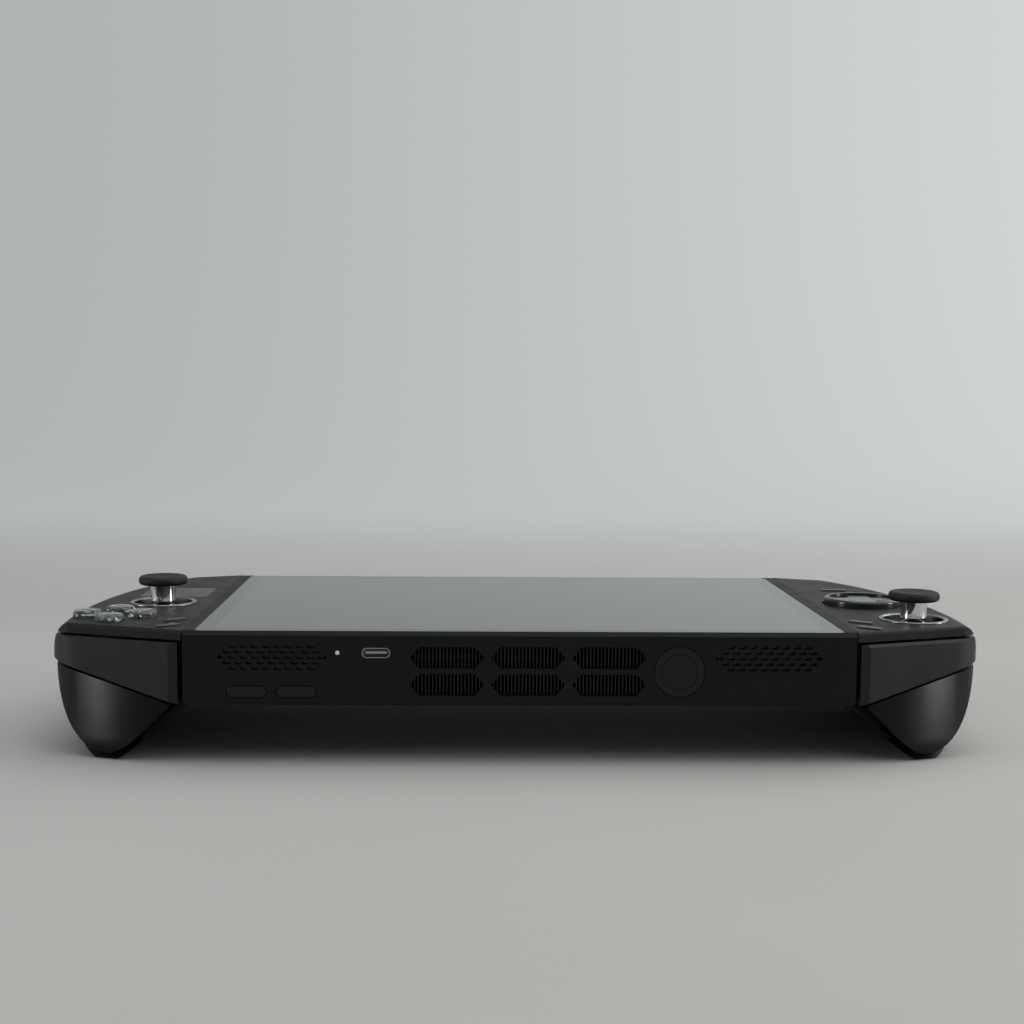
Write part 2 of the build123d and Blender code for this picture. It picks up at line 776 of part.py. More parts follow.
def volume_button(x, name):
    """A pill button in the top edge, a little proud of it."""
    with BuildPart() as button:
        with BuildSketch(front_face.offset(side_button_proud)):
            with Locations((x, -volume_drop)):
                SlotOverall(volume_width, volume_height)
        extrude(amount=-(side_button_proud + flange_front + volume_flange))
        fillet(button.faces().sort_by(Axis.Y)[0].edges(), side_button_proud)
        with BuildSketch(front_face.offset(-flange_front)):
            with Locations((x, -volume_drop)):
                SlotOverall(volume_width + 2 * volume_flange, volume_height)
        extrude(amount=-volume_flange)
        with BuildSketch(front_face.offset(-flange_front - volume_flange)):
            with Locations((x, -volume_drop)):
                Circle(switch_size / 3)
        extrude(amount=-seat_gap)
    save(button.part, name)


volume_button(volume_inner_x, "volume_up_button")
volume_button(volume_outer_x, "volume_down_button")

with BuildPart() as power_button:
    with BuildSketch(front_face.offset(-power_sink)):
        with Locations((power_x, -power_drop)):
            Circle(power_hole_radius - button_gap)
    extrude(amount=-(flange_front + volume_flange - power_sink))
    with BuildSketch(front_face.offset(-power_sink)):
        with Locations((power_x, -power_drop)):
            Circle(power_ring_radius)
            Circle(power_ring_radius - power_ring_width, mode=Mode.SUBTRACT)
    extrude(amount=-power_ring_depth, mode=Mode.SUBTRACT)
    with BuildSketch(front_face.offset(-flange_front)):
        with Locations((power_x, -power_drop)):
            Rectangle(2 * (power_hole_radius + volume_flange), power_hole_radius)
    extrude(amount=-volume_flange)
save(power_button.part, "power_button")


# Controller form, modelled for the controller at +X
slant_out = Vector(cos(radians(slant)), sin(radians(slant)), 0)
slant_back = Vector(-sin(radians(slant)), cos(radians(slant)), 0)
nose_origin = Vector(module_half, front_y, 0)
grip_inner = module_half + seam_gap
parting_z = face_height - parting_drop
bumper_top_z = face_height - shoulder_height - bumper_gap
bumper_boss_top = bumper_top_z - bumper_gap
bumper_boss_bottom = parting_z + bumper_lug_height + button_gap


def slant_plane(depth):
    """The plane parallel to the controller's slanted front, facing forward."""
    return Plane(origin=nose_origin + slant_back * depth, x_dir=slant_out, z_dir=-slant_back)


def behind_nose(x, y, depth):
    """Whether a point lies further back than a depth behind the slanted front."""
    return (Vector(x, y, 0) - nose_origin).dot(slant_back) > depth


def diagonal_plane(shift):
    """The plane between bumper and trigger, facing up."""
    tilt = radians(diagonal_tilt)
    normal = Vector(-sin(tilt), 0, cos(tilt))
    origin = Vector(module_half + diagonal_inner_out, front_y, face_height - diagonal_inner_drop)
    return Plane(origin=origin + normal * shift, x_dir=(cos(tilt), 0, sin(tilt)), z_dir=normal)


def grip_loft(side_inset, low_inset, top_inset, inner_inset, slope_inset):
    """The smooth grip through its stations, each outline drawn in by the given insets."""
    x_in = grip_inner + inner_inset
    z_top = face_height - top_inset
    outlines = []
    for depth, top, wide, ridge, drop, rise in grip_station_shares:
        top_end = (module_half + top * controller_width - side_inset, z_top)
        widest = (module_half + wide * controller_width - side_inset, face_height * (1 - drop))
        lowest = (module_half + ridge * controller_width, rise * face_height - ridge_sink + low_inset)
        inner = (x_in, face_height - grip_inner_drop + low_inset * low_slope_share + slope_inset)
        reach = lowest[0] - x_in
        with BuildSketch(Plane.XZ.offset(-(front_y + depth * module_depth))) as outline:
            with BuildLine():
                Line((x_in, z_top), top_end)
                Bezier(top_end, (top_end[0] + top_round_share * (widest[0] - top_end[0]), z_top),
                       (widest[0], widest[1] + top_round_share * (z_top - widest[1])), widest)
                Bezier(widest, (widest[0], widest[1] - side_round_share * (widest[1] - lowest[1])),
                       (lowest[0] + side_round_share * (widest[0] - lowest[0]), lowest[1]), lowest)
                Bezier(lowest, (lowest[0] - low_round_share * reach, lowest[1]),
                       (x_in + low_inner_share * reach, inner[1] - low_rise_share * (inner[1] - lowest[1])),
                       inner)
                Line(inner, (x_in, z_top))
            make_face()
        outlines.append(outline.sketch)
    loft(outlines)


def plan_cut(inset):
    """Keep what lies inside the controller's outline seen from above."""
    widest = overall_width / 2 - inset
    inner = module_half - overrun
    corner = nose_corner_share * controller_width
    round_out = nose_round_share * controller_width
    tail = tail_corner_out_share * controller_width
    start = nose_origin + slant_out * (-overrun / cos(radians(slant))) + slant_back * inset
    with BuildSketch(Plane.XY.offset(-overrun)) as outline:
        with BuildLine():
            near_corner = (module_half + corner - inset / 2, front_y + corner * tan(radians(slant)) + inset)
            round_start = (module_half + round_out - inset / 2,
                           front_y + round_out * tan(radians(slant)) + inset)
            side_start = (widest, front_y + nose_side_end_share * module_depth)
            Line((start.X, start.Y), near_corner)
            Bezier(near_corner, round_start, (widest, front_y + nose_side_share * module_depth), side_start)
            Polyline(side_start, (widest, front_y + tail_side_depth_share * module_depth),
                     (module_half + tail - inset / 2,
                      front_y + tail_corner_depth_share * module_depth - inset),
                     (inner, back_y - inset), (start.X, start.Y))
        make_face()
    extrude(outline.sketch, amount=face_height + 2 * overrun, mode=Mode.INTERSECT)


def low_cut(shift_back, shift_up):
    """Cut the form flat where it rests and round it up towards the nose."""
    side_plane = Plane(origin=nose_origin, x_dir=slant_back, z_dir=slant_out)
    pull = nose_pull_share
    with BuildSketch(side_plane) as outline:
        with BuildLine():
            high = (shift_back, nose_round_height + shift_up)
            low = (nose_round_depth + shift_back, shift_up)
            Line((shift_back, face_height + overrun), high)
            Bezier(high, (high[0], high[1] - pull * nose_round_height),
                   (low[0] - pull * nose_round_depth, low[1]), low)
            Polyline(low, (module_width, shift_up), (module_width, face_height + overrun),
                     (shift_back, face_height + overrun))
        make_face()
    extrude(outline.sketch, amount=module_width, both=True, mode=Mode.INTERSECT)


with BuildPart() as grip_form:
    grip_loft(0, 0, 0, 0, 0)
    plan_cut(0)
    low_cut(0, 0)

with BuildPart() as grip_cavity:
    grip_loft(shell_wall, shell_wall, top_wall, inner_wall, 0)
    plan_cut(shell_wall)

with BuildPart() as throat:
    grip_loft(throat_side_wall, throat_low_wall, top_wall, inner_wall, 0)
    split(bisect_by=slant_plane(throat_depth), keep=Keep.TOP)
    split(bisect_by=Plane.XY.offset(parting_z), keep=Keep.BOTTOM)


def stadium(x, y, z_from, z_to, length, width, mode=Mode.ADD, turn=0):
    """An upright pill."""
    with BuildSketch(Plane.XY.offset(z_from)) as outline:
        with Locations((x, y)):
            SlotOverall(length, width, rotation=turn)
    extrude(outline.sketch, amount=z_to - z_from, mode=mode)


# Controls of each side: (out, back) from the seam and the near edge
left_stick = place(left_stick_out, left_stick_back)
right_stick = place(right_stick_out, right_stick_back)
dpad_place = place(dpad_out, dpad_back)
face_places = {
    "a_button": place(face_button_out - face_button_spread, face_button_back),
    "b_button": place(face_button_out, face_button_back + face_button_spread),
    "x_button": place(face_button_out, face_button_back - face_button_spread),
    "y_button": place(face_button_out + face_button_spread, face_button_back),
}
pill_places = {
    "left_view_button": place(pill_out, left_upper_pill_back),
    "left_menu_button": place(pill_out, left_lower_pill_back),
    "left_home_button": place(home_out, home_back),
    "right_upper_button": place(pill_out, right_upper_pill_back),
    "right_lower_button": place(pill_out, right_lower_pill_back),
}
pill_lengths = {name: pill_length for name in pill_places}
pill_lengths["left_home_button"] = home_length
pill_turns = {name: pill_turn for name in pill_places}
pill_turns["left_home_button"] = 0
touchpad_place = place(touchpad_out, touchpad_back)
release_place = place(release_out, release_back)


def pills_of(side):
    """Names of the pill buttons on one controller."""
    prefix = "left" if side > 0 else "right"
    return [name for name in pill_places if name.startswith(prefix)]


skin_top = face_height + overrun
skin_bottom = face_height - top_wall
pivot_z = face_height - stick_pivot_drop
board_post_places = [place(board_post_out, back) for back in (board_post_near, board_post_far)]


def front_shell(side):
    """Upper shell: faceplate, shoulder, bulkhead, trigger brackets and bumper pin."""
    stick_x, stick_y = left_stick if side > 0 else right_stick
    with BuildPart() as shell:
        add(grip_form.part)
        split(bisect_by=slant_plane(shoulder_sink), keep=Keep.BOTTOM)
        front_edge = shell.faces().sort_by(Axis.Z)[-1].edges().filter_by(
            lambda edge: abs(edge.tangent_at(0).normalized().dot(slant_out)) > cos(radians(1)))
        fillet(front_edge, shoulder_edge_radius)
        fillet(shell.edges().group_by(Axis.Z)[-1].sort_by(Axis.X)[0], seam_edge_radius)
        split(bisect_by=Plane.XY.offset(parting_z), keep=Keep.TOP)
        add(grip_cavity.part, mode=Mode.SUBTRACT)
    shoulder_z = face_height - shoulder_height
    with BuildPart() as nose_space:
        add(grip_form.part)
        split(bisect_by=slant_plane(nose_depth), keep=Keep.TOP)
        split(bisect_by=Plane.XY.offset(shoulder_z), keep=Keep.BOTTOM)
    with BuildPart() as bulkhead:
        add(grip_cavity.part)
        split(bisect_by=slant_plane(nose_depth), keep=Keep.BOTTOM)
        split(bisect_by=slant_plane(nose_depth + bulkhead_wall), keep=Keep.TOP)
        split(bisect_by=Plane.XY.offset(parting_z), keep=Keep.TOP)
    with BuildPart() as finished:
        add(shell.part)
        add(nose_space.part, mode=Mode.SUBTRACT)
        add(bulkhead.part)
        trigger_brackets()
        bumper_lug()
        well_bottom = face_height - stick_ring_skirt - stick_ring_flange - seat_gap
        rod(stick_x, stick_y, skin_bottom - overrun, skin_top, stick_ring_radius + part_gap, Mode.SUBTRACT)
        rod(stick_x, stick_y, well_bottom, skin_bottom, stick_ring_radius + stick_ring_flange + part_gap,
            Mode.SUBTRACT)
        rod(stick_x, stick_y, parting_z - overrun, skin_bottom, dome_radius + rail_gap, Mode.SUBTRACT)
        for name in pills_of(side):
            x, y = pill_places[name]
            stadium(x, y, skin_bottom - overrun, skin_top, pill_lengths[name] + 2 * button_gap,
                    pill_width + 2 * button_gap, Mode.SUBTRACT, turn=pill_turns[name])
        if side > 0:
            rod(*dpad_place, skin_bottom - overrun, skin_top, dpad_radius + dpad_gap, Mode.SUBTRACT)
        else:
            for x, y in face_places.values():
                rod(x, y, skin_bottom - overrun, skin_top, face_button_radius + button_gap, Mode.SUBTRACT)
                rod(x, y, face_height - face_button_skirt - face_button_travel - button_gap, skin_bottom,
                    face_button_radius + face_button_flange + button_gap, Mode.SUBTRACT)
            pad_x, pad_y = touchpad_place
            with BuildSketch(Plane.XY.offset(face_height - touchpad_thickness - touchpad_sink - seat_gap)):
                with Locations((pad_x, pad_y)):
                    RectangleRounded(touchpad_width + 2 * part_gap, touchpad_depth + 2 * part_gap,
                                     touchpad_radius + part_gap)
            extrude(amount=face_height, mode=Mode.SUBTRACT)
    return finished.part


def bumper_lug():
    """A lug on the bulkhead with the upright pin that the bumper turns on."""
    pin_at = nose_origin + slant_out * bumper_pin_out + slant_back * bumper_pin_back
    lug_plane = Plane(origin=nose_origin + Vector(0, 0, parting_z), x_dir=slant_out, z_dir=(0, 0, 1))
    with BuildSketch(lug_plane) as lug:
        with Locations((bumper_pin_out, (bumper_pin_back + nose_depth + seat_gap) / 2)):
            Rectangle(2 * bumper_lug_half, nose_depth + seat_gap - bumper_pin_back)
        with Locations((bumper_pin_out, bumper_pin_back)):
            Circle(bumper_lug_half)
    extrude(lug.sketch, amount=bumper_lug_height)
    block(module_half - bumper_lug_half, grip_inner, front_y, slab_mid_y, parting_z,
          parting_z + bumper_lug_height, Mode.SUBTRACT)
    rod(pin_at.X, pin_at.Y, parting_z, bumper_boss_top, bumper_pin_radius)


def trigger_brackets():
    """Two plates behind the bumper that hold the ends of the trigger's pin."""
    axis_z = face_height - trigger_axis_drop
    for out in (trigger_arm_inner - bracket_gap - bracket_thickness,
                trigger_arm_outer + trigger_arm_width + bracket_gap):
        base = nose_origin + slant_out * out
        side_plane = Plane(origin=base, x_dir=slant_back, z_dir=slant_out)
        with BuildSketch(side_plane) as plate:
            with Locations(((bracket_front + nose_depth + seat_gap) / 2, axis_z + bracket_rise / 2)):
                Rectangle(nose_depth + seat_gap - bracket_front, bracket_rise)
            with Locations((trigger_axis_back, axis_z)):
                Circle(bracket_radius)
        extrude(plate.sketch, amount=bracket_thickness)
        with BuildSketch(side_plane) as bore:
            with Locations((trigger_axis_back, axis_z)):
                Circle(trigger_pin_radius + running_gap)
        extrude(bore.sketch, amount=bracket_thickness, mode=Mode.SUBTRACT)


def rear_shell(side):
    """Lower shell: the grip, its ribs for board and battery, and the release button's slot."""
    cell_x, cell_y = place(pad_cell_out, pad_cell_back)
    release_x, release_y = release_place
    with BuildPart() as posts:
        for x, y in board_post_places:
            rod(x, y, 0, face_height - pad_board_drop - pad_board_thickness - seat_gap, board_post_radius)
        for index in range(cradle_count):
            middle = cell_y + (index - (cradle_count - 1) / 2) * pad_cell_depth / cradle_count
            block(cell_x - pad_cell_width / 2 - cradle_width, cell_x + pad_cell_width / 2 + cradle_width,
                  middle - cradle_width / 2, middle + cradle_width / 2, 0, pad_cell_lift - seat_gap)
        add(grip_form.part, mode=Mode.INTERSECT)
    with BuildPart() as wall:
        add(grip_form.part)
        split(bisect_by=slant_plane(throat_depth), keep=Keep.BOTTOM)
        split(bisect_by=slant_plane(throat_depth + bulkhead_wall), keep=Keep.TOP)
        split(bisect_by=Plane.XY.offset(face_height - pad_board_drop - pad_board_thickness - seat_gap),
              keep=Keep.BOTTOM)
    with BuildPart() as lip:
        add(grip_form.part)
        split(bisect_by=Plane.XY.offset(parting_z - seam_gap), keep=Keep.BOTTOM)
        lip_normal = slant_back * -cos(radians(lip_lean)) + Vector(0, 0, sin(radians(lip_lean)))
        split(bisect_by=Plane(origin=nose_origin + slant_back * lip_front, x_dir=slant_out,
                              z_dir=lip_normal), keep=Keep.BOTTOM)
    with BuildPart() as shell:
        add(grip_form.part)
        split(bisect_by=Plane.XY.offset(parting_z - seam_gap), keep=Keep.BOTTOM)
        split(bisect_by=slant_plane(nose_depth), keep=Keep.BOTTOM)
        add(lip.part)
        add(grip_cavity.part, mode=Mode.SUBTRACT)
        add(throat.part, mode=Mode.SUBTRACT)
        add(posts.part)
        add(wall.part)
        stadium(release_x, release_y, 0, parting_z - overrun, release_length + 2 * button_gap,
                release_width + 2 * button_gap, Mode.SUBTRACT, turn=90)
    return shell.part


def rail():
    """The T-shaped rail on the controller's inner wall."""
    rail_z = face_height - rail_drop
    rail_front = front_y + rail_start
    rail_back = back_y - rail_end_margin
    with BuildPart() as slide:
        block(module_half - rail_web_depth, grip_inner, rail_front, rail_back,
              rail_z - rail_web_height / 2, rail_z + rail_web_height / 2)
        block(module_half - rail_web_depth - rail_head_depth, module_half - rail_web_depth, rail_front,
              rail_back, rail_z - rail_head_height / 2, rail_z + rail_head_height / 2)
    return slide.part


def bumper():
    """The shoulder button: a bevelled plate with a block at its outer end and a boss on its pin."""
    pin_at = nose_origin + slant_out * bumper_pin_out + slant_back * bumper_pin_back
    face_inner = nose_origin + slant_out * (bumper_inner + bumper_bevel_width)
    bevel_normal = slant_out * -bumper_bevel_depth - slant_back * bumper_bevel_width
    with BuildPart() as button:
        add(grip_form.part)
        split(bisect_by=slant_plane(0), keep=Keep.BOTTOM)
        split(bisect_by=slant_plane(bumper_depth), keep=Keep.TOP)
        split(bisect_by=Plane.XY.offset(bumper_top_z), keep=Keep.BOTTOM)
        split(bisect_by=diagonal_plane(diagonal_gap / 2), keep=Keep.TOP)
        split(bisect_by=Plane.YZ.offset(module_half + bumper_inner), keep=Keep.TOP)
        split(bisect_by=Plane(origin=face_inner, z_dir=bevel_normal), keep=Keep.BOTTOM)
        top_edge = nose_origin + Vector(0, 0, bumper_top_z - bumper_top_bevel)
        lean = Vector(0, 0, bumper_top_bevel_depth) - slant_back * bumper_top_bevel
        split(bisect_by=Plane(origin=top_edge, z_dir=lean), keep=Keep.BOTTOM)
        with BuildSketch(Plane.XY.offset(module_bottom)):
            back = slant_back * bumper_plate
            far = slant_back * (bumper_depth + overrun)
            inner_end = nose_origin - slant_out * overrun
            outer_end = nose_origin + slant_out * bumper_end_out
            Polygon(*[(corner.X, corner.Y) for corner in
                      (inner_end + back, outer_end + back, outer_end + far, inner_end + far)], align=None)
        extrude(amount=module_height, mode=Mode.SUBTRACT)
        rod(pin_at.X, pin_at.Y, bumper_boss_bottom, bumper_boss_top, bumper_boss_radius)
        with BuildSketch(Plane(origin=nose_origin + Vector(0, 0, bumper_boss_bottom),
                               x_dir=slant_out, z_dir=(0, 0, 1))):
            with Locations((bumper_pin_out, (bumper_plate + bumper_pin_back) / 2 - seam_edge_radius)):
                Rectangle(bumper_boss_radius, bumper_pin_back - bumper_plate + seam_edge_radius)
        extrude(amount=bumper_boss_top - bumper_boss_bottom)
        rod(pin_at.X, pin_at.Y, module_bottom, face_height, bumper_pin_radius + running_gap, Mode.SUBTRACT)
    return button.part


def trigger():
    """The analog trigger: a hollow curved skin with two arms up to its pin."""
    axis_z = face_height - trigger_axis_drop
    with BuildPart() as hollow:
        grip_loft(trigger_side_inset + trigger_wall, trigger_low_inset + trigger_wall, top_wall,
                  trigger_wall, trigger_slope_inset)
        plan_cut(trigger_face)
        low_cut(trigger_face, trigger_wall)
        split(bisect_by=Plane.YZ.offset(module_half + trigger_inner_out + trigger_wall), keep=Keep.TOP)
    with BuildPart() as lever:
        grip_loft(trigger_side_inset, trigger_low_inset, top_wall, 0, trigger_slope_inset)
        plan_cut(0)
        low_cut(0, 0)
        split(bisect_by=slant_plane(trigger_depth), keep=Keep.TOP)
        split(bisect_by=diagonal_plane(-diagonal_gap / 2), keep=Keep.BOTTOM)
        split(bisect_by=Plane.YZ.offset(module_half + trigger_inner_out), keep=Keep.TOP)
        add(hollow.part, mode=Mode.SUBTRACT)
        for out in (trigger_arm_inner, trigger_arm_outer):
            arm_plane = Plane(origin=nose_origin + slant_out * out, x_dir=slant_back, z_dir=slant_out)
            foot_z = diagonal_height(out) - diagonal_gap - trigger_arm_radius
            with BuildSketch(arm_plane):
                with Locations((trigger_axis_back, axis_z)):
                    Circle(trigger_arm_radius)
                Polygon((trigger_axis_back - trigger_arm_radius, axis_z),
                        (trigger_axis_back + trigger_arm_radius, axis_z),
                        (trigger_axis_back, foot_z - trigger_arm_radius),
                        (trigger_face / 2, foot_z - trigger_arm_radius), (trigger_face / 2, foot_z),
                        (trigger_axis_back - trigger_arm_radius, foot_z), align=None)
            extrude(amount=trigger_arm_width)
            with BuildSketch(arm_plane):
                with Locations((trigger_axis_back, axis_z)):
                    Circle(trigger_pin_radius + running_gap)
            extrude(amount=trigger_arm_width, mode=Mode.SUBTRACT)
    return lever.part


def diagonal_height(out):
    """Height of the line between bumper and trigger at a place along the nose."""
    shift = out * cos(radians(slant)) - diagonal_inner_out
    return face_height - diagonal_inner_drop + shift * tan(radians(diagonal_tilt))


def trigger_pin():
    """The steel pin through both brackets and both arms."""
    axis_z = Vector(0, 0, face_height - trigger_axis_drop)
    near = trigger_arm_inner - bracket_gap - bracket_thickness
    far = trigger_arm_outer + trigger_arm_width + bracket_gap + bracket_thickness
    axis_at = nose_origin + slant_back * trigger_axis_back + axis_z
    with BuildPart() as pin:
        bar(tuple(axis_at + slant_out * near), tuple(axis_at + slant_out * far), trigger_pin_radius)
    return pin.part


def stick_ring(x, y):
    """The metal ring let into the faceplate round the stick."""
    with BuildPart() as ring:
        rod(x, y, face_height - stick_ring_skirt, face_height + stick_ring_proud, stick_ring_radius)
        fillet(ring.faces().sort_by(Axis.Z)[-1].edges(), stick_ring_lip)
        rod(x, y, face_height - stick_ring_skirt - stick_ring_flange, skin_bottom - seat_gap,
            stick_ring_radius + stick_ring_flange)
        rod(x, y, face_height - stick_ring_skirt - stick_ring_flange, skin_top, stick_ring_bore,
            Mode.SUBTRACT)
        chamfer(ring.faces().sort_by(Axis.Z)[-1].edges().sort_by(SortBy.LENGTH)[0], stick_ring_lip)
    return ring.part


def stick_rocker(x, y):
    """The outer gimbal frame, which turns about X on two pins."""
    with BuildPart() as frame:
        with BuildSketch(Plane.XY.offset(pivot_z - gimbal_thickness / 2)):
            with Locations((x, y)):
                Rectangle(gimbal_outer, gimbal_outer)
                Rectangle(gimbal_inner, gimbal_inner, mode=Mode.SUBTRACT)
        extrude(amount=gimbal_thickness)
        for side in (-1, 1):
            bar((x + side * gimbal_inner / 2, y, pivot_z), (x + side * gimbal_pin_reach, y, pivot_z),
                gimbal_pin_radius)
        bar((x, y - gimbal_outer / 2, pivot_z), (x, y + gimbal_outer / 2, pivot_z),
            gimbal_pin_radius + running_gap, Mode.SUBTRACT)
    return frame.part


def stick_pivot(x, y):
    """The inner gimbal hub, which turns about Y, with the dome that hides it."""
    with BuildPart() as hub:
        with BuildSketch(Plane.XZ.offset(-y)):
            with BuildLine():
                top = pivot_z + dome_radius
                edge = (dome_radius ** 2 - dome_height ** 2) ** 0.5
                under = dome_radius - dome_thickness
                under_edge = (under ** 2 - dome_height ** 2) ** 0.5
                turn = acos(dome_height / dome_radius) / 2
                under_turn = acos(dome_height / under) / 2
                ThreePointArc((x, top), (x + dome_radius * sin(turn), pivot_z + dome_radius * cos(turn)),
                              (x + edge, pivot_z + dome_height))
                Line((x + edge, pivot_z + dome_height), (x + under_edge, pivot_z + dome_height))
                ThreePointArc((x + under_edge, pivot_z + dome_height),
                              (x + under * sin(under_turn), pivot_z + under * cos(under_turn)),
                              (x, pivot_z + under))
                Line((x, pivot_z + under), (x, top))
            make_face()
        revolve(axis=Axis((x, y, 0), (0, 0, 1)))
        rod(x, y, pivot_z - hub_foot, pivot_z + dome_radius - dome_thickness / 2, hub_size / 2)
        bar((x, y - gimbal_outer / 2, pivot_z), (x, y + gimbal_outer / 2, pivot_z), gimbal_pin_radius)
        rod(x, y, pivot_z - hub_foot, pivot_z + dome_radius, stem_radius + running_gap, Mode.SUBTRACT)
    return hub.part


def stick_shaft(x, y):
    """The bright waisted shaft on its thin stem."""
    with BuildPart() as shaft:
        rod(x, y, pivot_z - hub_foot, pivot_z + shaft_start, stem_radius)
        with BuildSketch(Plane.XZ.offset(-y)):
            with BuildLine():
                low = pivot_z + shaft_start
                high = pivot_z + shaft_end
                Polyline((x + shaft_radius, low), (x, low), (x, high), (x + shaft_top_radius, high))
                ThreePointArc((x + shaft_top_radius, high),
                              (x + shaft_waist_radius, (low + high) / 2), (x + shaft_radius, low))
            make_face()
        revolve(axis=Axis((x, y, 0), (0, 0, 1)))
    return shaft.part


def stick_cap(x, y):
    """The rubber cap: a thick rounded disc, dished on top, seated on the shaft."""
    low = pivot_z + shaft_end
    high = low + cap_height
    dish_sphere = (cap_dish_radius ** 2 + cap_dish_depth ** 2) / (2 * cap_dish_depth)
    turn = asin(cap_dish_radius / dish_sphere) / 2
    with BuildPart() as cap:
        rod(x, y, low, high, cap_radius)
        rims = cap.edges().filter_by(GeomType.CIRCLE).sort_by(SortBy.RADIUS)[-2:]
        fillet(rims, cap_round)
        with BuildSketch(Plane.XZ.offset(-y)):
            with BuildLine():
                Line((x, high), (x + cap_dish_radius, high))
                ThreePointArc((x + cap_dish_radius, high),
                              (x + dish_sphere * sin(turn),
                               high - cap_dish_depth + dish_sphere * (1 - cos(turn))),
                              (x, high - cap_dish_depth))
                Line((x, high - cap_dish_depth), (x, high))
            make_face()
        revolve(axis=Axis((x, y, 0), (0, 0, 1)), mode=Mode.SUBTRACT)
    return cap.part


def pill_button(x, y, length, turn):
    """A small pill button with a flange under the faceplate."""
    with BuildPart() as button:
        stadium(x, y, face_height - pill_skirt, face_height + pill_proud, length, pill_width, turn=turn)
        fillet(button.faces().sort_by(Axis.Z)[-1].edges(), pill_edge)
        flange_top = skin_bottom - 2 * seat_gap
        stadium(x, y, flange_top - flange_height, flange_top, length + 2 * pill_flange,
                pill_width + 2 * pill_flange, turn=turn)
    return button.part


def face_button(x, y):
    """A clear round button with a flange under the faceplate."""
    with BuildPart() as button:
        rod(x, y, face_height - face_button_skirt, face_height + face_button_proud, face_button_radius)
        fillet(button.faces().sort_by(Axis.Z)[-1].edges(), face_button_edge)
        flange_top = skin_bottom - 2 * seat_gap
        rod(x, y, flange_top - flange_height, flange_top, face_button_radius + face_button_flange)
    return button.part


def dpad():
    """The D-pad disc: dished top, raised cross, four sunk quadrants and two ears below."""
    x, y = dpad_place
    top = face_height + dpad_proud
    low = top - dpad_plate
    pivot = face_height - dpad_pivot_drop
    with BuildPart() as disc:
        rod(x, y, low, top, dpad_radius)
        fillet(disc.faces().sort_by(Axis.Z)[-1].edges(), dpad_edge)
        with BuildSketch(Plane.XY.offset(top)):
            with Locations((x, y)):
                Circle(dpad_dish_radius)
        extrude(amount=-dpad_dish_depth, mode=Mode.SUBTRACT)
        with BuildSketch(Plane.XY.offset(top - dpad_dish_depth)):
            with Locations((x, y)):
                Circle(dpad_quadrant_radius)
                Rectangle(dpad_arm_width, 2 * dpad_radius, mode=Mode.SUBTRACT)
                Rectangle(2 * dpad_radius, dpad_arm_width, mode=Mode.SUBTRACT)
        extrude(amount=-dpad_quadrant_depth, mode=Mode.SUBTRACT)
        for side in (-1, 1):
            block(x - dpad_ear_width / 2, x + dpad_ear_width / 2,
                  *sorted((y + side * dpad_ear_inner, y + side * dpad_ear_outer)),
                  pivot - dpad_ear_foot, low)
        bar((x, y - dpad_ear_outer, pivot), (x, y + dpad_ear_outer, pivot),
            dpad_pin_radius + running_gap, Mode.SUBTRACT)
    return disc.part


def dpad_pivot():
    """The small cross that lets the D-pad rock both ways."""
    x, y = dpad_place
    pivot = face_height - dpad_pivot_drop
    half = dpad_pivot_size / 2
    with BuildPart() as cross:
        block(x - half, x + half, y - half, y + half, pivot - half, pivot + half)
        bar((x - dpad_pin_reach, y, pivot), (x + dpad_pin_reach, y, pivot), dpad_pin_radius)
        bar((x, y - dpad_ear_outer, pivot), (x, y + dpad_ear_outer, pivot), dpad_pin_radius)
    return cross.part


def touchpad():
    """The square touch surface, flush in its tray."""
    with BuildPart() as pad:
        with BuildSketch(Plane.XY.offset(face_height - touchpad_sink - touchpad_thickness)):
            with Locations(touchpad_place):
                RectangleRounded(touchpad_width, touchpad_depth, touchpad_radius)
        extrude(amount=touchpad_thickness)
    return pad.part


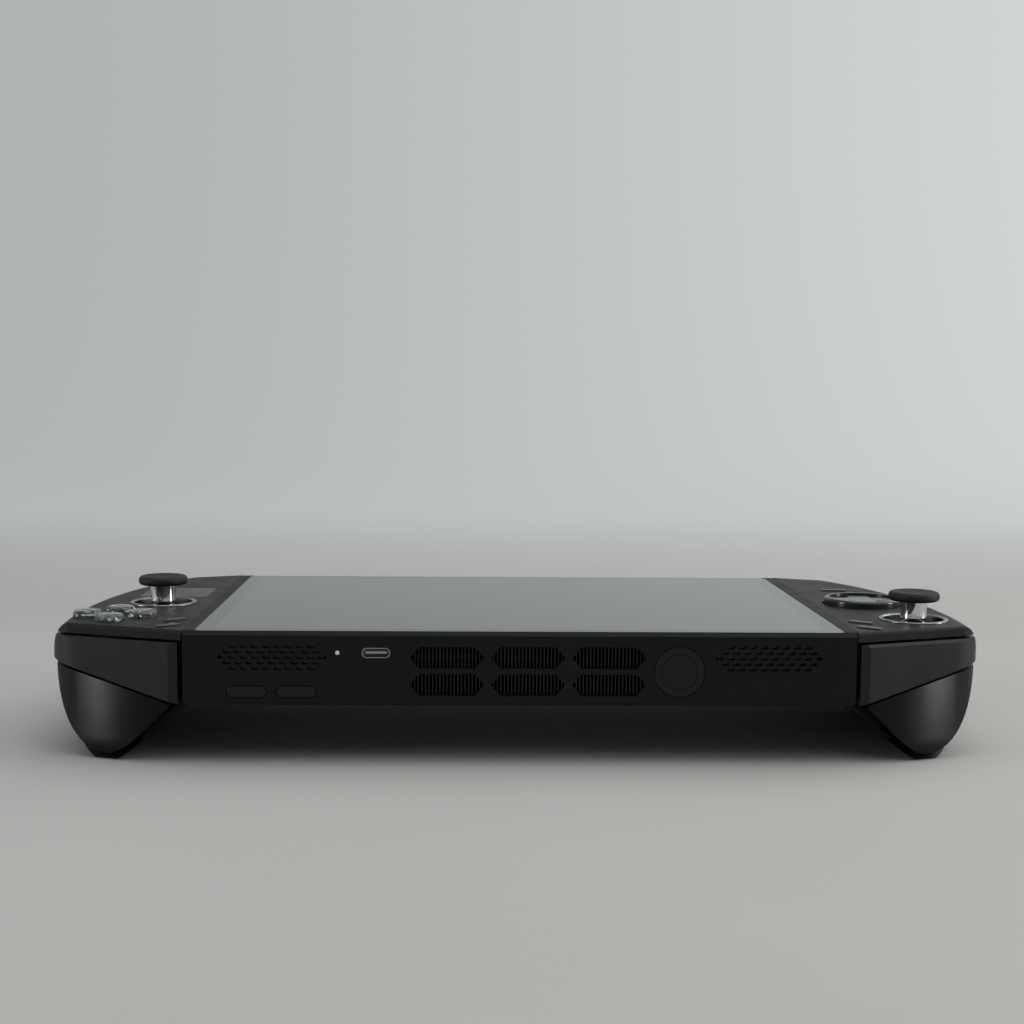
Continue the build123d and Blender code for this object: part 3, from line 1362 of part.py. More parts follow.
def controller_board(side):
    """Circuit board with the stick's posts, the D-pad's posts and a contact dome per button."""
    stick_x, stick_y = left_stick if side > 0 else right_stick
    top = face_height - pad_board_drop
    bottom = top - pad_board_thickness
    with BuildPart() as slab:
        grip_loft(pad_board_side_margin, pad_board_side_margin, 0, inner_wall + pad_board_inner_margin, 0)
        split(bisect_by=Plane.XY.offset(bottom), keep=Keep.TOP)
        split(bisect_by=Plane.XY.offset(top), keep=Keep.BOTTOM)
        split(bisect_by=slant_plane(pad_board_front), keep=Keep.BOTTOM)
        split(bisect_by=Plane.XZ.offset(-(front_y + pad_board_end)), keep=Keep.TOP)
        for end in (-1, 1):
            block(*sorted((stick_x + end * post_inner, stick_x + end * post_outer)),
                  stick_y - post_width / 2, stick_y + post_width / 2, top, pivot_z + post_head)
        bar((stick_x - gimbal_pin_reach - seat_gap, stick_y, pivot_z),
            (stick_x + gimbal_pin_reach + seat_gap, stick_y, pivot_z), gimbal_pin_radius + running_gap,
            Mode.SUBTRACT)
        flange_foot = face_height - pill_skirt - pill_travel - dome_pad_gap
        for name in pills_of(side):
            if behind_nose(*pill_places[name], pad_board_front + pill_width):
                rod(*pill_places[name], top, flange_foot, pill_width / 2)
        if side > 0:
            x, y = dpad_place
            pivot = face_height - dpad_pivot_drop
            for end in (-1, 1):
                block(*sorted((x + end * dpad_ear_inner, x + end * dpad_pin_reach)),
                      y - dpad_ear_width / 4, y + dpad_ear_width / 4, top, pivot + dpad_ear_foot)
            bar((x - dpad_pin_reach - seat_gap, y, pivot), (x + dpad_pin_reach + seat_gap, y, pivot),
                dpad_pin_radius + running_gap, Mode.SUBTRACT)
        else:
            dome_top = face_height - face_button_skirt - face_button_travel - dome_pad_gap
            for x, y in face_places.values():
                if behind_nose(x, y, pad_board_front + dome_pad_radius):
                    rod(x, y, top, dome_top, dome_pad_radius)
    return slab.part


def controller_battery():
    """The controller's cell, on the cradle ribs of the grip."""
    x, y = place(pad_cell_out, pad_cell_back)
    with BuildPart() as cell:
        with BuildSketch(Plane.XY.offset(pad_cell_lift)):
            with Locations((x, y)):
                RectangleRounded(pad_cell_width, pad_cell_depth, pad_cell_radius)
        extrude(amount=pad_cell_height)
    return cell.part


def release_button():
    """The catch under the grip that frees the controller from its rail."""
    x, y = release_place
    with BuildPart() as button:
        high = face_height - grip_inner_drop + release_height / 2
        stadium(x, y, 0, high, release_length, release_width, turn=90)
        add(grip_form.part, mode=Mode.INTERSECT)
        stadium(x, y, high - release_flange, high, release_length + 2 * release_flange,
                release_width + 2 * release_flange, turn=90)
    return button.part


def controller(side):
    """Every piece of one controller."""
    prefix = "left" if side > 0 else "right"
    stick_x, stick_y = left_stick if side > 0 else right_stick
    pieces = {
        "front_shell": front_shell(side),
        "rear_shell": rear_shell(side),
        "rail": rail(),
        "bumper": bumper(),
        "trigger": trigger(),
        "trigger_pin": trigger_pin(),
        "stick_ring": stick_ring(stick_x, stick_y),
        "stick_rocker": stick_rocker(stick_x, stick_y),
        "stick_pivot": stick_pivot(stick_x, stick_y),
        "stick_shaft": stick_shaft(stick_x, stick_y),
        "stick_cap": stick_cap(stick_x, stick_y),
        "board": controller_board(side),
        "battery": controller_battery(),
        "release_button": release_button(),
    }
    if side > 0:
        pieces["dpad"] = dpad()
        pieces["dpad_pivot"] = dpad_pivot()
    else:
        pieces["touchpad"] = touchpad()
        for name, at in face_places.items():
            pieces[name] = face_button(*at)
    for name in pills_of(side):
        pieces[name.removeprefix(prefix + "_")] = pill_button(*pill_places[name], pill_lengths[name],
                                                              pill_turns[name])
    for name, piece in pieces.items():
        save(on_side(piece, side), f"{prefix}_{name}")


controller(1)
controller(-1)
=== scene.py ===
from math import cos, pi, radians, sin

import bpy
import numpy as np
from mathutils import Matrix, Vector


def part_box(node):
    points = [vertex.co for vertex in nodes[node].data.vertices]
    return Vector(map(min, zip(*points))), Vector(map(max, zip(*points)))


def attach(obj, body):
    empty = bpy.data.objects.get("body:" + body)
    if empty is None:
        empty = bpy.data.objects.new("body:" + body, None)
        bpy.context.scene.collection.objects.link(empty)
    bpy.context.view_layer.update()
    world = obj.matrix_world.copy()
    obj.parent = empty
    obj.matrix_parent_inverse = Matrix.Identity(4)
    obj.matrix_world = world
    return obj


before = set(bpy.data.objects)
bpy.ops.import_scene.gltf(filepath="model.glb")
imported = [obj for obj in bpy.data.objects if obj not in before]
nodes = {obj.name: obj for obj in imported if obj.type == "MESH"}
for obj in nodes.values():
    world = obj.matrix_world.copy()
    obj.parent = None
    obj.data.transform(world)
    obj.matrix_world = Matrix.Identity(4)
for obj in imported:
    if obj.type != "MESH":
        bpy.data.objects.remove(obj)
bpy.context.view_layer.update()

# Slab shell
# The body of the slab is one black moulded frame with a matching back cover. Both are glass-filled
# nylon with a fine spark-eroded grain, screwed together from behind.
MM = 0.001


def new_material(name):
    """An empty node material and its shader, ready for inputs."""
    material = bpy.data.materials.new(name)
    material.use_nodes = True
    shader = material.node_tree.nodes["Principled BSDF"]
    return material, shader


def object_noise(material, size, detail=3.0):
    """Noise over the piece's own coordinates, with features of a size in metres."""
    tree = material.node_tree
    place = tree.nodes.new("ShaderNodeTexCoord")
    noise = tree.nodes.new("ShaderNodeTexNoise")
    noise.inputs["Scale"].default_value = 1.0 / size
    noise.inputs["Detail"].default_value = detail
    tree.links.new(place.outputs["Object"], noise.inputs["Vector"])
    return noise.outputs["Fac"]


noise_low = 0.3
noise_high = 0.7


def ranged(material, value, low, high):
    """A noise value stretched between two limits."""
    tree = material.node_tree
    node = tree.nodes.new("ShaderNodeMapRange")
    node.inputs["From Min"].default_value = noise_low
    node.inputs["From Max"].default_value = noise_high
    node.inputs["To Min"].default_value = low
    node.inputs["To Max"].default_value = high
    tree.links.new(value, node.inputs["Value"])
    return node.outputs["Result"]


def mixed(material, factor, first, second):
    """Two colours mixed by a value."""
    tree = material.node_tree
    node = tree.nodes.new("ShaderNodeMix")
    node.data_type = "RGBA"
    tree.links.new(factor, node.inputs["Factor"])
    for socket, colour in ((node.inputs[6], first), (node.inputs[7], second)):
        if isinstance(colour, bpy.types.NodeSocket):
            tree.links.new(colour, socket)
        else:
            socket.default_value = (*colour, 1.0)
    return node.outputs[2]


def bumped(material, shader, value, depth):
    """A height in metres, worked into the shader's normal."""
    tree = material.node_tree
    bump = tree.nodes.new("ShaderNodeBump")
    bump.inputs["Distance"].default_value = depth
    tree.links.new(value, bump.inputs["Height"])
    tree.links.new(bump.outputs["Normal"], shader.inputs["Normal"])


slow_size = 28 * MM
gloss_size = 9 * MM
gloss_detail = 5.0
grain_detail = 2.0


def moulded(name, colour, roughness, grain=0.35 * MM, depth=0.012 * MM, specular=0.5, uneven=0.12,
            rough_uneven=0.05, metallic=0.0):
    """Plastic or cast metal: a fine grain, with slow changes of tone and gloss from handling."""
    material, shader = new_material(name)
    shader.inputs["Metallic"].default_value = metallic
    shader.inputs["Specular IOR Level"].default_value = specular
    slow = object_noise(material, slow_size)
    darker = tuple(channel * (1 - uneven) for channel in colour)
    lighter = tuple(channel * (1 + uneven) for channel in colour)
    tone = ranged(material, slow, 0.0, 1.0)
    material.node_tree.links.new(mixed(material, tone, darker, lighter), shader.inputs["Base Color"])
    gloss = ranged(material, object_noise(material, gloss_size, gloss_detail),
                   roughness - rough_uneven, roughness + rough_uneven)
    material.node_tree.links.new(gloss, shader.inputs["Roughness"])
    bumped(material, shader, object_noise(material, grain, grain_detail), depth)
    return material


def finish_in(material, *names):
    """Give CAD nodes a material."""
    for name in names:
        for slot in nodes[name].material_slots:
            slot.material = material


shell_black = (0.0055, 0.006, 0.0058)
shell_plastic = moulded("shell_plastic", shell_black, 0.52, specular=0.14)
finish_in(shell_plastic, "housing", "back_cover")

# Cover glass and display
# One sheet of glass, bonded flush in the frame, with a black printed border. The panel behind it is
# off, so it only shows as a slightly warmer black inside the border.
glass_material, glass_shader = new_material("cover_glass")
glass_low, glass_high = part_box("cover_glass")
border_side = 5.4 * MM
border_end = 4.6 * MM
border_soft = 0.15 * MM
panel_black = (0.04, 0.048, 0.036)
border_black = (0.004, 0.004, 0.0045)
glass_index = 1.5
smear_size = 45 * MM
smear_detail = 6.0


def inside(material, axis, low, high, soft):
    """One between two places along an axis and zero outside, with a narrow edge."""
    tree = material.node_tree
    place = tree.nodes.new("ShaderNodeTexCoord")
    parts = tree.nodes.new("ShaderNodeSeparateXYZ")
    tree.links.new(place.outputs["Object"], parts.inputs["Vector"])
    away = tree.nodes.new("ShaderNodeMath")
    away.operation = "SUBTRACT"
    tree.links.new(parts.outputs[axis], away.inputs[0])
    away.inputs[1].default_value = (low + high) / 2
    size = tree.nodes.new("ShaderNodeMath")
    size.operation = "ABSOLUTE"
    tree.links.new(away.outputs[0], size.inputs[0])
    edge = tree.nodes.new("ShaderNodeMapRange")
    edge.inputs["From Min"].default_value = (high - low) / 2 - soft
    edge.inputs["From Max"].default_value = (high - low) / 2 + soft
    edge.inputs["To Min"].default_value = 1.0
    edge.inputs["To Max"].default_value = 0.0
    tree.links.new(size.outputs[0], edge.inputs["Value"])
    return edge.outputs["Result"]


def both(material, first, second):
    """The product of two masks."""
    tree = material.node_tree
    product = tree.nodes.new("ShaderNodeMath")
    product.operation = "MULTIPLY"
    tree.links.new(first, product.inputs[0])
    tree.links.new(second, product.inputs[1])
    return product.outputs[0]


across = inside(glass_material, "X", glass_low[0] + border_side, glass_high[0] - border_side, border_soft)
along = inside(glass_material, "Y", glass_low[1] + border_end, glass_high[1] - border_end, border_soft)
active = both(glass_material, across, along)
glass_material.node_tree.links.new(mixed(glass_material, active, border_black, panel_black),
                                   glass_shader.inputs["Base Color"])
glass_shader.inputs["IOR"].default_value = glass_index
smear = ranged(glass_material, object_noise(glass_material, smear_size, smear_detail), 0.05, 0.11)
glass_material.node_tree.links.new(smear, glass_shader.inputs["Roughness"])
finish_in(glass_material, "cover_glass")
display_film = moulded("display_layers", (0.01, 0.01, 0.011), 0.35, depth=0.004 * MM)
finish_in(display_film, "display_panel")

# Frame and screws inside the slab
# The mid frame is die-cast aluminium and carries the board on four bosses. Six black steel screws
# with a hexagon recess hold the back cover.
cast_metal = moulded("cast_aluminium", (0.42, 0.43, 0.44), 0.42, grain=0.6 * MM, metallic=1.0,
                     uneven=0.06)
screw_steel = moulded("black_steel", (0.09, 0.09, 0.095), 0.32, grain=0.2 * MM, metallic=1.0)
pin_steel = moulded("pin_steel", (0.5, 0.5, 0.5), 0.22, grain=0.15 * MM, depth=0.003 * MM, metallic=1.0)
finish_in(cast_metal, "mid_frame")
finish_in(screw_steel, "housing_screws")
finish_in(pin_steel, "kickstand_pin", "left_trigger_pin", "right_trigger_pin")

# Kickstand
# A plate of aluminium, painted in the shell's satin black, that folds flat into the back cover.
stand_paint = moulded("stand_paint", (0.011, 0.0118, 0.0115), 0.42, grain=0.22 * MM, specular=0.5)
finish_in(stand_paint, "kickstand")

# Speakers
# Two box speakers sit behind the grilles. Black cones in a matt black frame.
speaker_plastic = moulded("speaker_plastic", (0.006, 0.006, 0.006), 0.6, grain=0.25 * MM)
finish_in(speaker_plastic, "speakers")
mesh_wire = moulded("dust_mesh_wire", (0.05, 0.052, 0.052), 0.35, grain=0.1 * MM, depth=0.004 * MM,
                    metallic=0.9)
mesh_width = 31.0 * MM
mesh_height = 8.6 * MM
mesh_pitch = 0.4 * MM
mesh_wave = 0.035 * MM
mesh_gap = 0.05 * MM
mesh_from_side = 14.0 * MM
points_per_wire = 4
speaker_low, speaker_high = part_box("speakers")
mesh_middle_z = (speaker_low[2] + speaker_high[2]) / 2
mesh_middle_x = speaker_high[0] - mesh_from_side


def grid_piece(name, points, rows, columns, material, smooth=True):
    """A mesh object from a grid of points, row by row, facing by the right-hand rule."""
    index = np.arange(rows * columns).reshape(rows, columns)
    faces = np.stack([index[:-1, :-1], index[1:, :-1], index[1:, 1:], index[:-1, 1:]], axis=-1)
    mesh = bpy.data.meshes.new(name)
    mesh.from_pydata(points.tolist(), [], faces.reshape(-1, 4).tolist())
    mesh.materials.append(material)
    mesh.polygons.foreach_set("use_smooth", np.full(len(mesh.polygons), smooth))
    mesh.update()
    piece = bpy.data.objects.new(name, mesh)
    bpy.context.scene.collection.objects.link(piece)
    return piece


def woven_sheet(middle_x, middle_z, face_y):
    """Height over the sheet is a sine along each thread; threads that cross are half a wave apart."""
    step = mesh_pitch / points_per_wire
    u = np.arange(0, mesh_width + step / 2, step)
    v = np.arange(0, mesh_height + step / 2, step)
    across, upward = np.meshgrid(u, v, indexing="ij")
    wave = mesh_wave * np.sin(2 * pi * across / mesh_pitch) * np.sin(2 * pi * upward / mesh_pitch)
    points = np.stack([middle_x - mesh_width / 2 + across, face_y + wave,
                       middle_z - mesh_height / 2 + upward], axis=-1)
    return points.reshape(-1, 3), len(u), len(v)


for side, sign in (("left", 1), ("right", -1)):
    sheet_points, sheet_rows, sheet_columns = woven_sheet(sign * mesh_middle_x, mesh_middle_z,
                                                          speaker_low[1] - mesh_gap)
    dust_mesh = grid_piece(f"{side}_speaker_mesh", sheet_points, sheet_rows, sheet_columns, mesh_wire)
    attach(dust_mesh, "console")

# Heat sink
# A comb of thin aluminium fins right behind the vents, darkened, with flat heat pipes to the
# processor's plate.
fin_metal = moulded("fin_metal", (0.028, 0.029, 0.028), 0.45, grain=0.5 * MM, depth=0.01 * MM,
                    metallic=0.8)
finish_in(fin_metal, "heat_sink")

# Fan
# A flat blower of black glass-filled plastic: the scroll is fixed and the rotor spins in it.
fan_plastic = moulded("fan_plastic", (0.008, 0.008, 0.009), 0.5)
rotor_plastic = moulded("rotor_plastic", (0.012, 0.012, 0.013), 0.38)
finish_in(fan_plastic, "fan_housing")
finish_in(rotor_plastic, "fan_rotor")
filter_cloth = moulded("filter_cloth", (0.006, 0.006, 0.006), 0.8, grain=0.3 * MM, specular=0.2)
rotor_low, rotor_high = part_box("fan_rotor")
filter_z = 21.6 * MM
filter_radius = 16.9 * MM
filter_pitch = 1.2 * MM
filter_wave = 0.05 * MM
filter_rings = 70
filter_steps = 241


def filter_disc(middle_x, middle_y):
    """Rings of points whose height is a sine along each of the cloth's two threads."""
    radius, turn = np.meshgrid(np.linspace(0, filter_radius, filter_rings),
                               np.linspace(0, 2 * pi, filter_steps), indexing="ij")
    x = radius * np.cos(turn)
    y = radius * np.sin(turn)
    z = filter_z + filter_wave * np.sin(2 * pi * x / filter_pitch) * np.sin(2 * pi * y / filter_pitch)
    points = np.stack([middle_x + x, middle_y + y, z], axis=-1)
    return points.reshape(-1, 3), filter_rings, filter_steps


filter_points, filter_rows, filter_columns = filter_disc((rotor_low[0] + rotor_high[0]) / 2,
                                                         (rotor_low[1] + rotor_high[1]) / 2)
dust_filter = grid_piece("fan_dust_filter", filter_points, filter_rows, filter_columns, filter_cloth)
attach(dust_filter, "console")

# Circuit boards
# Dark solder mask over copper, with pads in rows. The same finish serves the slab's board and the
# small board in each controller.
mask_green = (0.006, 0.016, 0.012)
track_green = (0.012, 0.032, 0.022)
track_scale = 260.0
track_gap = 0.06


def board_finish(name):
    """Solder mask with a faint pattern of tracks, as bricks drawn long and thin."""
    material, shader = new_material(name)
    tree = material.node_tree
    place = tree.nodes.new("ShaderNodeTexCoord")
    bricks = tree.nodes.new("ShaderNodeTexBrick")
    bricks.inputs["Scale"].default_value = track_scale
    bricks.inputs["Mortar Size"].default_value = track_gap
    bricks.inputs["Color1"].default_value = (*mask_green, 1.0)
    bricks.inputs["Color2"].default_value = (*track_green, 1.0)
    bricks.inputs["Mortar"].default_value = (*track_green, 1.0)
    tree.links.new(place.outputs["Object"], bricks.inputs["Vector"])
    tree.links.new(bricks.outputs["Color"], shader.inputs["Base Color"])
    gloss = ranged(material, object_noise(material, 6 * MM), 0.28, 0.4)
    tree.links.new(gloss, shader.inputs["Roughness"])
    bumped(material, shader, bricks.outputs["Fac"], 0.03 * MM)
    return material


finish_in(board_finish("circuit_board"), "motherboard", "left_board", "right_board")

# Batteries
# Flat cells in black heat-shrunk film, a little wrinkled.
cell_film = moulded("battery_film", (0.013, 0.013, 0.014), 0.3, grain=2.2 * MM, depth=0.05 * MM)
finish_in(cell_film, "battery_pack", "left_battery", "right_battery")

# Socket and status light
# The socket is a drawn steel shell with a black tongue, and the light is the end of a clear guide.
port_metal = moulded("port_metal", (0.33, 0.33, 0.33), 0.3, grain=0.3 * MM, depth=0.004 * MM, metallic=1.0)
finish_in(port_metal, "usb_port")
guide_clear = moulded("light_guide", (0.62, 0.64, 0.64), 0.25, grain=0.4 * MM, depth=0.004 * MM)
finish_in(guide_clear, "status_light")
contact_gold = moulded("contact_gold", (0.72, 0.5, 0.2), 0.25, grain=0.2 * MM, depth=0.002 * MM,
                       metallic=1.0)
port_low, port_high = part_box("usb_port")
contact_count = 12
contact_pitch = 0.5 * MM
contact_width = 0.26 * MM
contact_length = 3.4 * MM
contact_proud = 0.04 * MM
tongue_half = 0.35 * MM
tongue_middle = 35.6 * MM
contact_back = 1.0 * MM


def contact_blocks():
    """Flat bars in two rows, one on each side of the tongue, as corners offset from each middle."""
    step = (np.arange(contact_count) - (contact_count - 1) / 2) * contact_pitch
    middle_x = (port_low[0] + port_high[0]) / 2
    corners = np.array([(x, y, z) for z in (0, 1) for y in (0, 1) for x in (-0.5, 0.5)], dtype=float)
    bars = []
    for face in (-1, 1):
        for place in step:
            bar = corners * (contact_width, contact_length, contact_proud * face)
            bars.append(bar + (middle_x + place, port_low[1] + contact_back,
                               tongue_middle + face * tongue_half))
    points = np.concatenate(bars)
    box = np.array([(0, 2, 3, 1), (4, 5, 7, 6), (0, 1, 5, 4), (1, 3, 7, 5), (3, 2, 6, 7), (2, 0, 4, 6)])
    faces = np.concatenate([box if index >= contact_count else box[:, ::-1]
                            for index in range(2 * contact_count)])
    faces = faces + np.repeat(np.arange(2 * contact_count) * 8, len(box))[:, None]
    return points, faces


contact_points, contact_faces = contact_blocks()
contact_mesh = bpy.data.meshes.new("usb_contacts")
contact_mesh.from_pydata(contact_points.tolist(), [], contact_faces.tolist())
contact_mesh.materials.append(contact_gold)
contacts = bpy.data.objects.new("usb_contacts", contact_mesh)
bpy.context.scene.collection.objects.link(contacts)
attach(contacts, "console")

# Side buttons
# Volume and power buttons in the shell's colour, slightly smoother than the frame round them.
button_satin = moulded("side_button_satin", (0.005, 0.0054, 0.0052), 0.42, grain=0.25 * MM, specular=0.25)
finish_in(button_satin, "power_button", "volume_up_button", "volume_down_button",
          "left_release_button", "right_release_button")

# Controller faceplates and grips
# Each controller is two moulded shells that meet in a fine line round the side. The faceplate is
# satin black and the grip has a finer matt grain for the hand.
faceplate_satin = moulded("faceplate_satin", (0.006, 0.0064, 0.0063), 0.5, grain=0.28 * MM, specular=0.2)
grip_satin = moulded("grip_satin", (0.0065, 0.007, 0.0068), 0.45, grain=0.4 * MM, depth=0.02 * MM,
                     specular=0.35)
for side in ("left", "right"):
    finish_in(faceplate_satin, f"{side}_front_shell")
    finish_in(grip_satin, f"{side}_rear_shell")

# Rails
# Anodised aluminium, with the dull lustre of a bead-blasted surface.
rail_metal = moulded("rail_anodised", (0.14, 0.14, 0.145), 0.38, grain=0.3 * MM, metallic=1.0)
finish_in(rail_metal, "left_rail", "right_rail")

# Bumpers and triggers
# Bumpers are satin. Triggers are a shade glossier and a little bowed both ways, so a soft band of
# light runs down the curve.
bumper_satin = moulded("bumper_satin", (0.0058, 0.0063, 0.0061), 0.42, grain=0.25 * MM, specular=0.32)
trigger_satin = moulded("trigger_satin", (0.0026, 0.0028, 0.0028), 0.3, grain=0.22 * MM,
                        depth=0.005 * MM, specular=0.13, rough_uneven=0.03)
bow_out = (118.0 * MM, 9.0)
bow_up = (-50.0 * MM, 1.3)


def bowed(material, shader):
    """A height of -strength * (distance from the middle)^2 along |x| and along z, under the grain."""
    tree = material.node_tree
    place = tree.nodes.new("ShaderNodeTexCoord")
    parts = tree.nodes.new("ShaderNodeSeparateXYZ")
    tree.links.new(place.outputs["Object"], parts.inputs["Vector"])
    total = tree.nodes.new("ShaderNodeMath")
    for index, (axis, (middle, strength)) in enumerate((("X", bow_out), ("Z", bow_up))):
        value = parts.outputs[axis]
        for operation, operand in (("ABSOLUTE", 0.0), ("SUBTRACT", middle), ("POWER", 2.0),
                                   ("MULTIPLY", -strength)):
            node = tree.nodes.new("ShaderNodeMath")
            node.operation = operation
            tree.links.new(value, node.inputs[0])
            node.inputs[1].default_value = operand
            value = node.outputs[0]
        tree.links.new(value, total.inputs[index])
    bow = tree.nodes.new("ShaderNodeBump")
    bow.inputs["Distance"].default_value = 1.0
    tree.links.new(total.outputs[0], bow.inputs["Height"])
    grain = shader.inputs["Normal"].links[0].from_node
    tree.links.new(bow.outputs["Normal"], grain.inputs["Normal"])


bowed(trigger_satin, trigger_satin.node_tree.nodes["Principled BSDF"])
finish_in(bumper_satin, "left_bumper", "right_bumper")
finish_in(trigger_satin, "left_trigger", "right_trigger")

# Sticks
# A metal ring let into the faceplate, a polished black dome, a chromed shaft with a waist and a
# rubber cap. The gimbal below is plain black plastic.
ring_metal = moulded("ring_metal", (0.22, 0.225, 0.225), 0.26, grain=0.2 * MM, depth=0.004 * MM,
                     metallic=1.0)
dome_polished = moulded("dome_polished", (0.02, 0.02, 0.02), 0.12, grain=0.5 * MM, depth=0.002 * MM,
                        rough_uneven=0.02)
chrome_polished = moulded("chrome_polished", (0.62, 0.62, 0.6), 0.06, grain=0.8 * MM,
                          depth=0.002 * MM, metallic=1.0, uneven=0.03, rough_uneven=0.02)
cap_rubber = moulded("cap_rubber", (0.0055, 0.0058, 0.0056), 0.6, grain=0.3 * MM, depth=0.02 * MM,
                     specular=0.3)
gimbal_plastic = moulded("gimbal_plastic", (0.012, 0.012, 0.012), 0.45)
for side in ("left", "right"):
    finish_in(ring_metal, f"{side}_stick_ring")
    finish_in(dome_polished, f"{side}_stick_pivot")
    finish_in(chrome_polished, f"{side}_stick_shaft")
    finish_in(cap_rubber, f"{side}_stick_cap")
    finish_in(gimbal_plastic, f"{side}_stick_rocker")

# D-pad
# One disc with a raised cross and four sunk quadrants, in smooth satin plastic, on a small pivot.
dpad_satin = moulded("dpad_satin", (0.012, 0.013, 0.013), 0.2, grain=0.3 * MM, depth=0.004 * MM)
finish_in(dpad_satin, "left_dpad")
finish_in(gimbal_plastic, "left_dpad_pivot")

# Small buttons
# Pills for the menus, in smooth black plastic.
pill_satin = moulded("pill_satin", (0.014, 0.0145, 0.0145), 0.28, grain=0.25 * MM, depth=0.005 * MM)
finish_in(pill_satin, "left_view_button", "left_menu_button", "left_home_button",
          "right_upper_button", "right_lower_button")

# Clear buttons
# Four round buttons cast in clear, slightly smoky acrylic with faceted faces. Light breaks up on
# the facets and shows the dark well below.
clear_material, clear_shader = new_material("clear_acrylic")
clear_tone = (0.62, 0.65, 0.64)
clear_share = 0.93
clear_index = 1.49
facet_size = 2.6 * MM
facet_depth = 0.9 * MM
flow_size = 3 * MM
flow_detail = 4.0


def facets(material, size):
    """Distance to the nearest of scattered points, one to a cell of this size: shallow cones."""
    tree = material.node_tree
    place = tree.nodes.new("ShaderNodeTexCoord")
    cells = tree.nodes.new("ShaderNodeTexVoronoi")
    cells.inputs["Scale"].default_value = 1.0 / size
    tree.links.new(place.outputs["Object"], cells.inputs["Vector"])
    return cells.outputs["Distance"]


clear_shader.inputs["Base Color"].default_value = (*clear_tone, 1.0)
clear_shader.inputs["Transmission Weight"].default_value = clear_share
clear_shader.inputs["IOR"].default_value = clear_index
flow = ranged(clear_material, object_noise(clear_material, flow_size, flow_detail), 0.02, 0.07)
clear_material.node_tree.links.new(flow, clear_shader.inputs["Roughness"])
bumped(clear_material, clear_shader, facets(clear_material, facet_size), facet_depth)
finish_in(clear_material, *(f"right_{letter}_button" for letter in "abxy"))

# Touchpad
# A square of fine matt film over glass, level with the faceplate.
pad_film = moulded("touch_film", (0.02, 0.021, 0.02), 0.36, grain=0.18 * MM, depth=0.006 * MM,
                   specular=0.35)
finish_in(pad_film, "right_touchpad")

# Floor and backdrop
# One pale seamless sheet: it lies flat under the object, then curves up behind it. Further back it glows
# with painted light.
sweep_front = -2.4
sweep_back = 1.4
sweep_radius = 0.7
sweep_height = 3.0
sweep_half = 3.2
sweep_steps = 40
sweep_rises = 20
sweep_ribs = 9


def sweep_surface():
    """A profile carried across X: flat from front to back, a quarter circle, then upright."""
    flat = np.linspace(sweep_front, sweep_back, sweep_steps)
    turn = np.linspace(0, pi / 2, sweep_steps)[1:]
    rise = np.linspace(sweep_radius, sweep_height, sweep_rises)[1:]
    y = np.concatenate([flat, sweep_back + sweep_radius * np.sin(turn),
                        np.full(len(rise), sweep_back + sweep_radius)])
    z = np.concatenate([np.zeros(len(flat)), sweep_radius * (1 - np.cos(turn)), rise])
    x = np.linspace(-sweep_half, sweep_half, sweep_ribs)
    points = np.stack([np.repeat(x, len(y)), np.tile(y, len(x)), np.tile(z, len(x))], axis=1)
    return points, len(x), len(y)


floor_material, floor_shader = new_material("seamless_paper_painted_glow")
floor_tree = floor_material.node_tree
paper_rough = 0.75
paper_specular = 0.2
paper_patch = 180 * MM
paper_detail = 2.0
paper_dark = (0.43, 0.435, 0.41)
paper_light = (0.45, 0.455, 0.43)
floor_shader.inputs["Roughness"].default_value = paper_rough
floor_shader.inputs["Specular IOR Level"].default_value = paper_specular
paper = ranged(floor_material, object_noise(floor_material, paper_patch, paper_detail), 0.0, 1.0)
floor_tree.links.new(mixed(floor_material, paper, paper_dark, paper_light),
                     floor_shader.inputs["Base Color"])


def axis_ramp(material, axis, start, end):
    """Zero before one place along an axis and one past the other, smooth between."""
    tree = material.node_tree
    place = tree.nodes.new("ShaderNodeTexCoord")
    parts = tree.nodes.new("ShaderNodeSeparateXYZ")
    tree.links.new(place.outputs["Object"], parts.inputs["Vector"])
    ramp = tree.nodes.new("ShaderNodeMapRange")
    ramp.interpolation_type = "SMOOTHSTEP"
    ramp.inputs["From Min"].default_value = start
    ramp.inputs["From Max"].default_value = end
    tree.links.new(parts.outputs[axis], ramp.inputs["Value"])
    return ramp.outputs["Result"]


# Painted light: the glow of the far floor and backdrop is dimmer on the left and brighter on the right, as
# if lit from the right.
painted_glow_dim_left = (0.440, 0.455, 0.460)
painted_glow_bright_right = (0.650, 0.675, 0.680)
tone_left = -0.8
tone_right = 1.3
glow_front = 0.25
glow_back = 0.9
# Painted light: an emission that camera, glossy and transmission rays see, blended in from a little behind
# the object.
glow = floor_tree.nodes.new("ShaderNodeEmission")
floor_tree.links.new(mixed(floor_material, axis_ramp(floor_material, "X", tone_left, tone_right), painted_glow_dim_left,
                           painted_glow_bright_right), glow.inputs["Color"])
rays = floor_tree.nodes.new("ShaderNodeLightPath")


def highest(tree, first, second):
    """The larger of two values."""
    node = tree.nodes.new("ShaderNodeMath")
    node.operation = "MAXIMUM"
    tree.links.new(first, node.inputs[0])
    tree.links.new(second, node.inputs[1])
    return node.outputs[0]


seen = highest(floor_tree, highest(floor_tree, rays.outputs["Is Camera Ray"],
                                   rays.outputs["Is Glossy Ray"]),
               rays.outputs["Is Transmission Ray"])
share = both(floor_material, seen, axis_ramp(floor_material, "Y", glow_front, glow_back))
blend = floor_tree.nodes.new("ShaderNodeMixShader")
floor_tree.links.new(share, blend.inputs["Fac"])
floor_tree.links.new(floor_shader.outputs["BSDF"], blend.inputs[1])
floor_tree.links.new(glow.outputs["Emission"], blend.inputs[2])
floor_tree.links.new(blend.outputs["Shader"], floor_tree.nodes["Material Output"].inputs["Surface"])
sweep_points, sweep_rows, sweep_columns = sweep_surface()
sweep = grid_piece("seamless_sweep", sweep_points, sweep_rows, sweep_columns, floor_material)

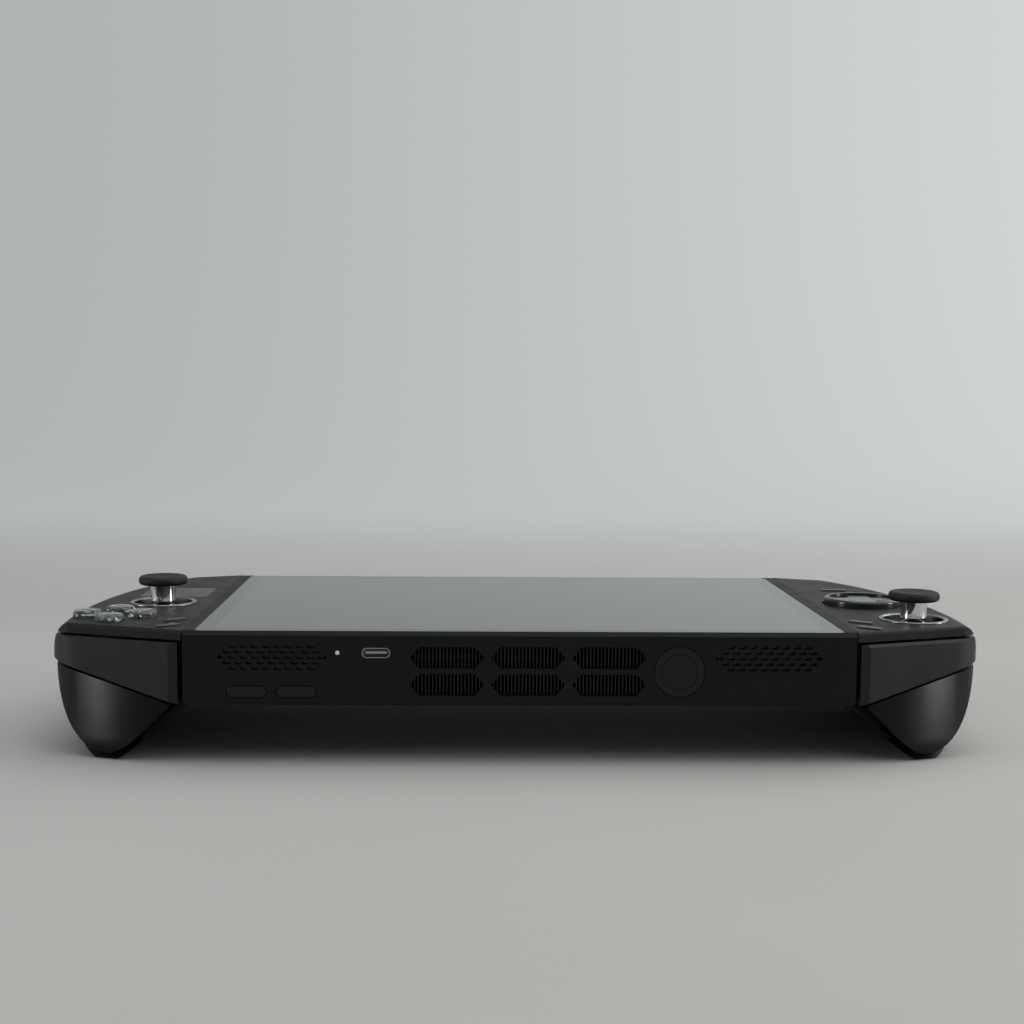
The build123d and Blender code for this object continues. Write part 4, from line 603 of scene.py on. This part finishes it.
# Lights and world
# One large soft box overhead, a little to the right, two low narrow ones at the sides for the
# bands of light on the triggers, and a small one behind, in a dim pale room.
room_tone = (0.9, 0.95, 1.0)
room_strength = 0.38
world = bpy.data.worlds.new("pale_room")
bpy.context.scene.world = world
world.use_nodes = True
world.node_tree.nodes["Background"].inputs["Color"].default_value = (*room_tone, 1.0)
world.node_tree.nodes["Background"].inputs["Strength"].default_value = room_strength


def soft_box(name, place, aim, width, depth, power):
    """A rectangular lamp that points at a place."""
    lamp = bpy.data.lights.new(name, "AREA")
    lamp.shape = "RECTANGLE"
    lamp.size = width
    lamp.size_y = depth
    lamp.energy = power
    holder = bpy.data.objects.new(name, lamp)
    holder.location = place
    holder.rotation_euler = (Vector(aim) - Vector(place)).to_track_quat("-Z", "Y").to_euler()
    bpy.context.scene.collection.objects.link(holder)


soft_box("overhead", (0.55, -0.3, 1.4), (0.1, -0.05, 0.0), 2.7, 2.6, 26.0)
soft_box("side_right", (1.3, -0.2, 0.28), (0.1, -0.05, 0.03), 0.26, 0.5, 5.0)
soft_box("back_right", (1.4, 0.9, 0.9), (0.6, 0.2, 0.0), 0.8, 0.8, 4.0)
soft_box("side_left", (-1.3, -0.3, 0.28), (-0.1, -0.05, 0.03), 0.26, 0.5, 4.5)

# Dark card
# A black cloth hangs behind the camera, so the shiny parts have something dark to reflect in front.
card_half = 1.1
card_y = -1.7
card_low = 0.7
card_high = 2.2
card_tone = (0.01, 0.01, 0.01)
card_rough = 0.9
card_cloth, card_shader = new_material("black_cloth")
card_shader.inputs["Base Color"].default_value = (*card_tone, 1.0)
card_shader.inputs["Roughness"].default_value = card_rough
card_points = np.array([(x, card_y, z) for x in (card_half, -card_half) for z in (card_low, card_high)])
card = grid_piece("dark_card", card_points, 2, 2, card_cloth, smooth=False)

# Camera
# Just above table height, in front of the top edge, as the photograph was taken.
camera_place = Vector((-0.01857, -0.54942, 0.11924))
camera_yaw = radians(1.8079)
camera_dip = radians(4.7904)
camera_roll = radians(0.5029)
camera_sensor = 36.0
camera_focal = 56.12
ahead = Vector((sin(camera_yaw) * cos(camera_dip), cos(camera_yaw) * cos(camera_dip), -sin(camera_dip)))
level = Vector((cos(camera_yaw), -sin(camera_yaw), 0.0))
above = level.cross(ahead)
right = level * cos(camera_roll) + above * sin(camera_roll)
up = above * cos(camera_roll) - level * sin(camera_roll)
camera_data = bpy.data.cameras.new("camera")
camera_data.sensor_fit = "HORIZONTAL"
camera_data.sensor_width = camera_sensor
camera_data.lens = camera_focal
camera = bpy.data.objects.new("camera", camera_data)
camera.matrix_world = Matrix.Translation(camera_place) @ Matrix((right, up, -ahead)).transposed().to_4x4()
bpy.context.scene.collection.objects.link(camera)
bpy.context.scene.camera = camera
bpy.context.scene.view_settings.view_transform = "Standard"
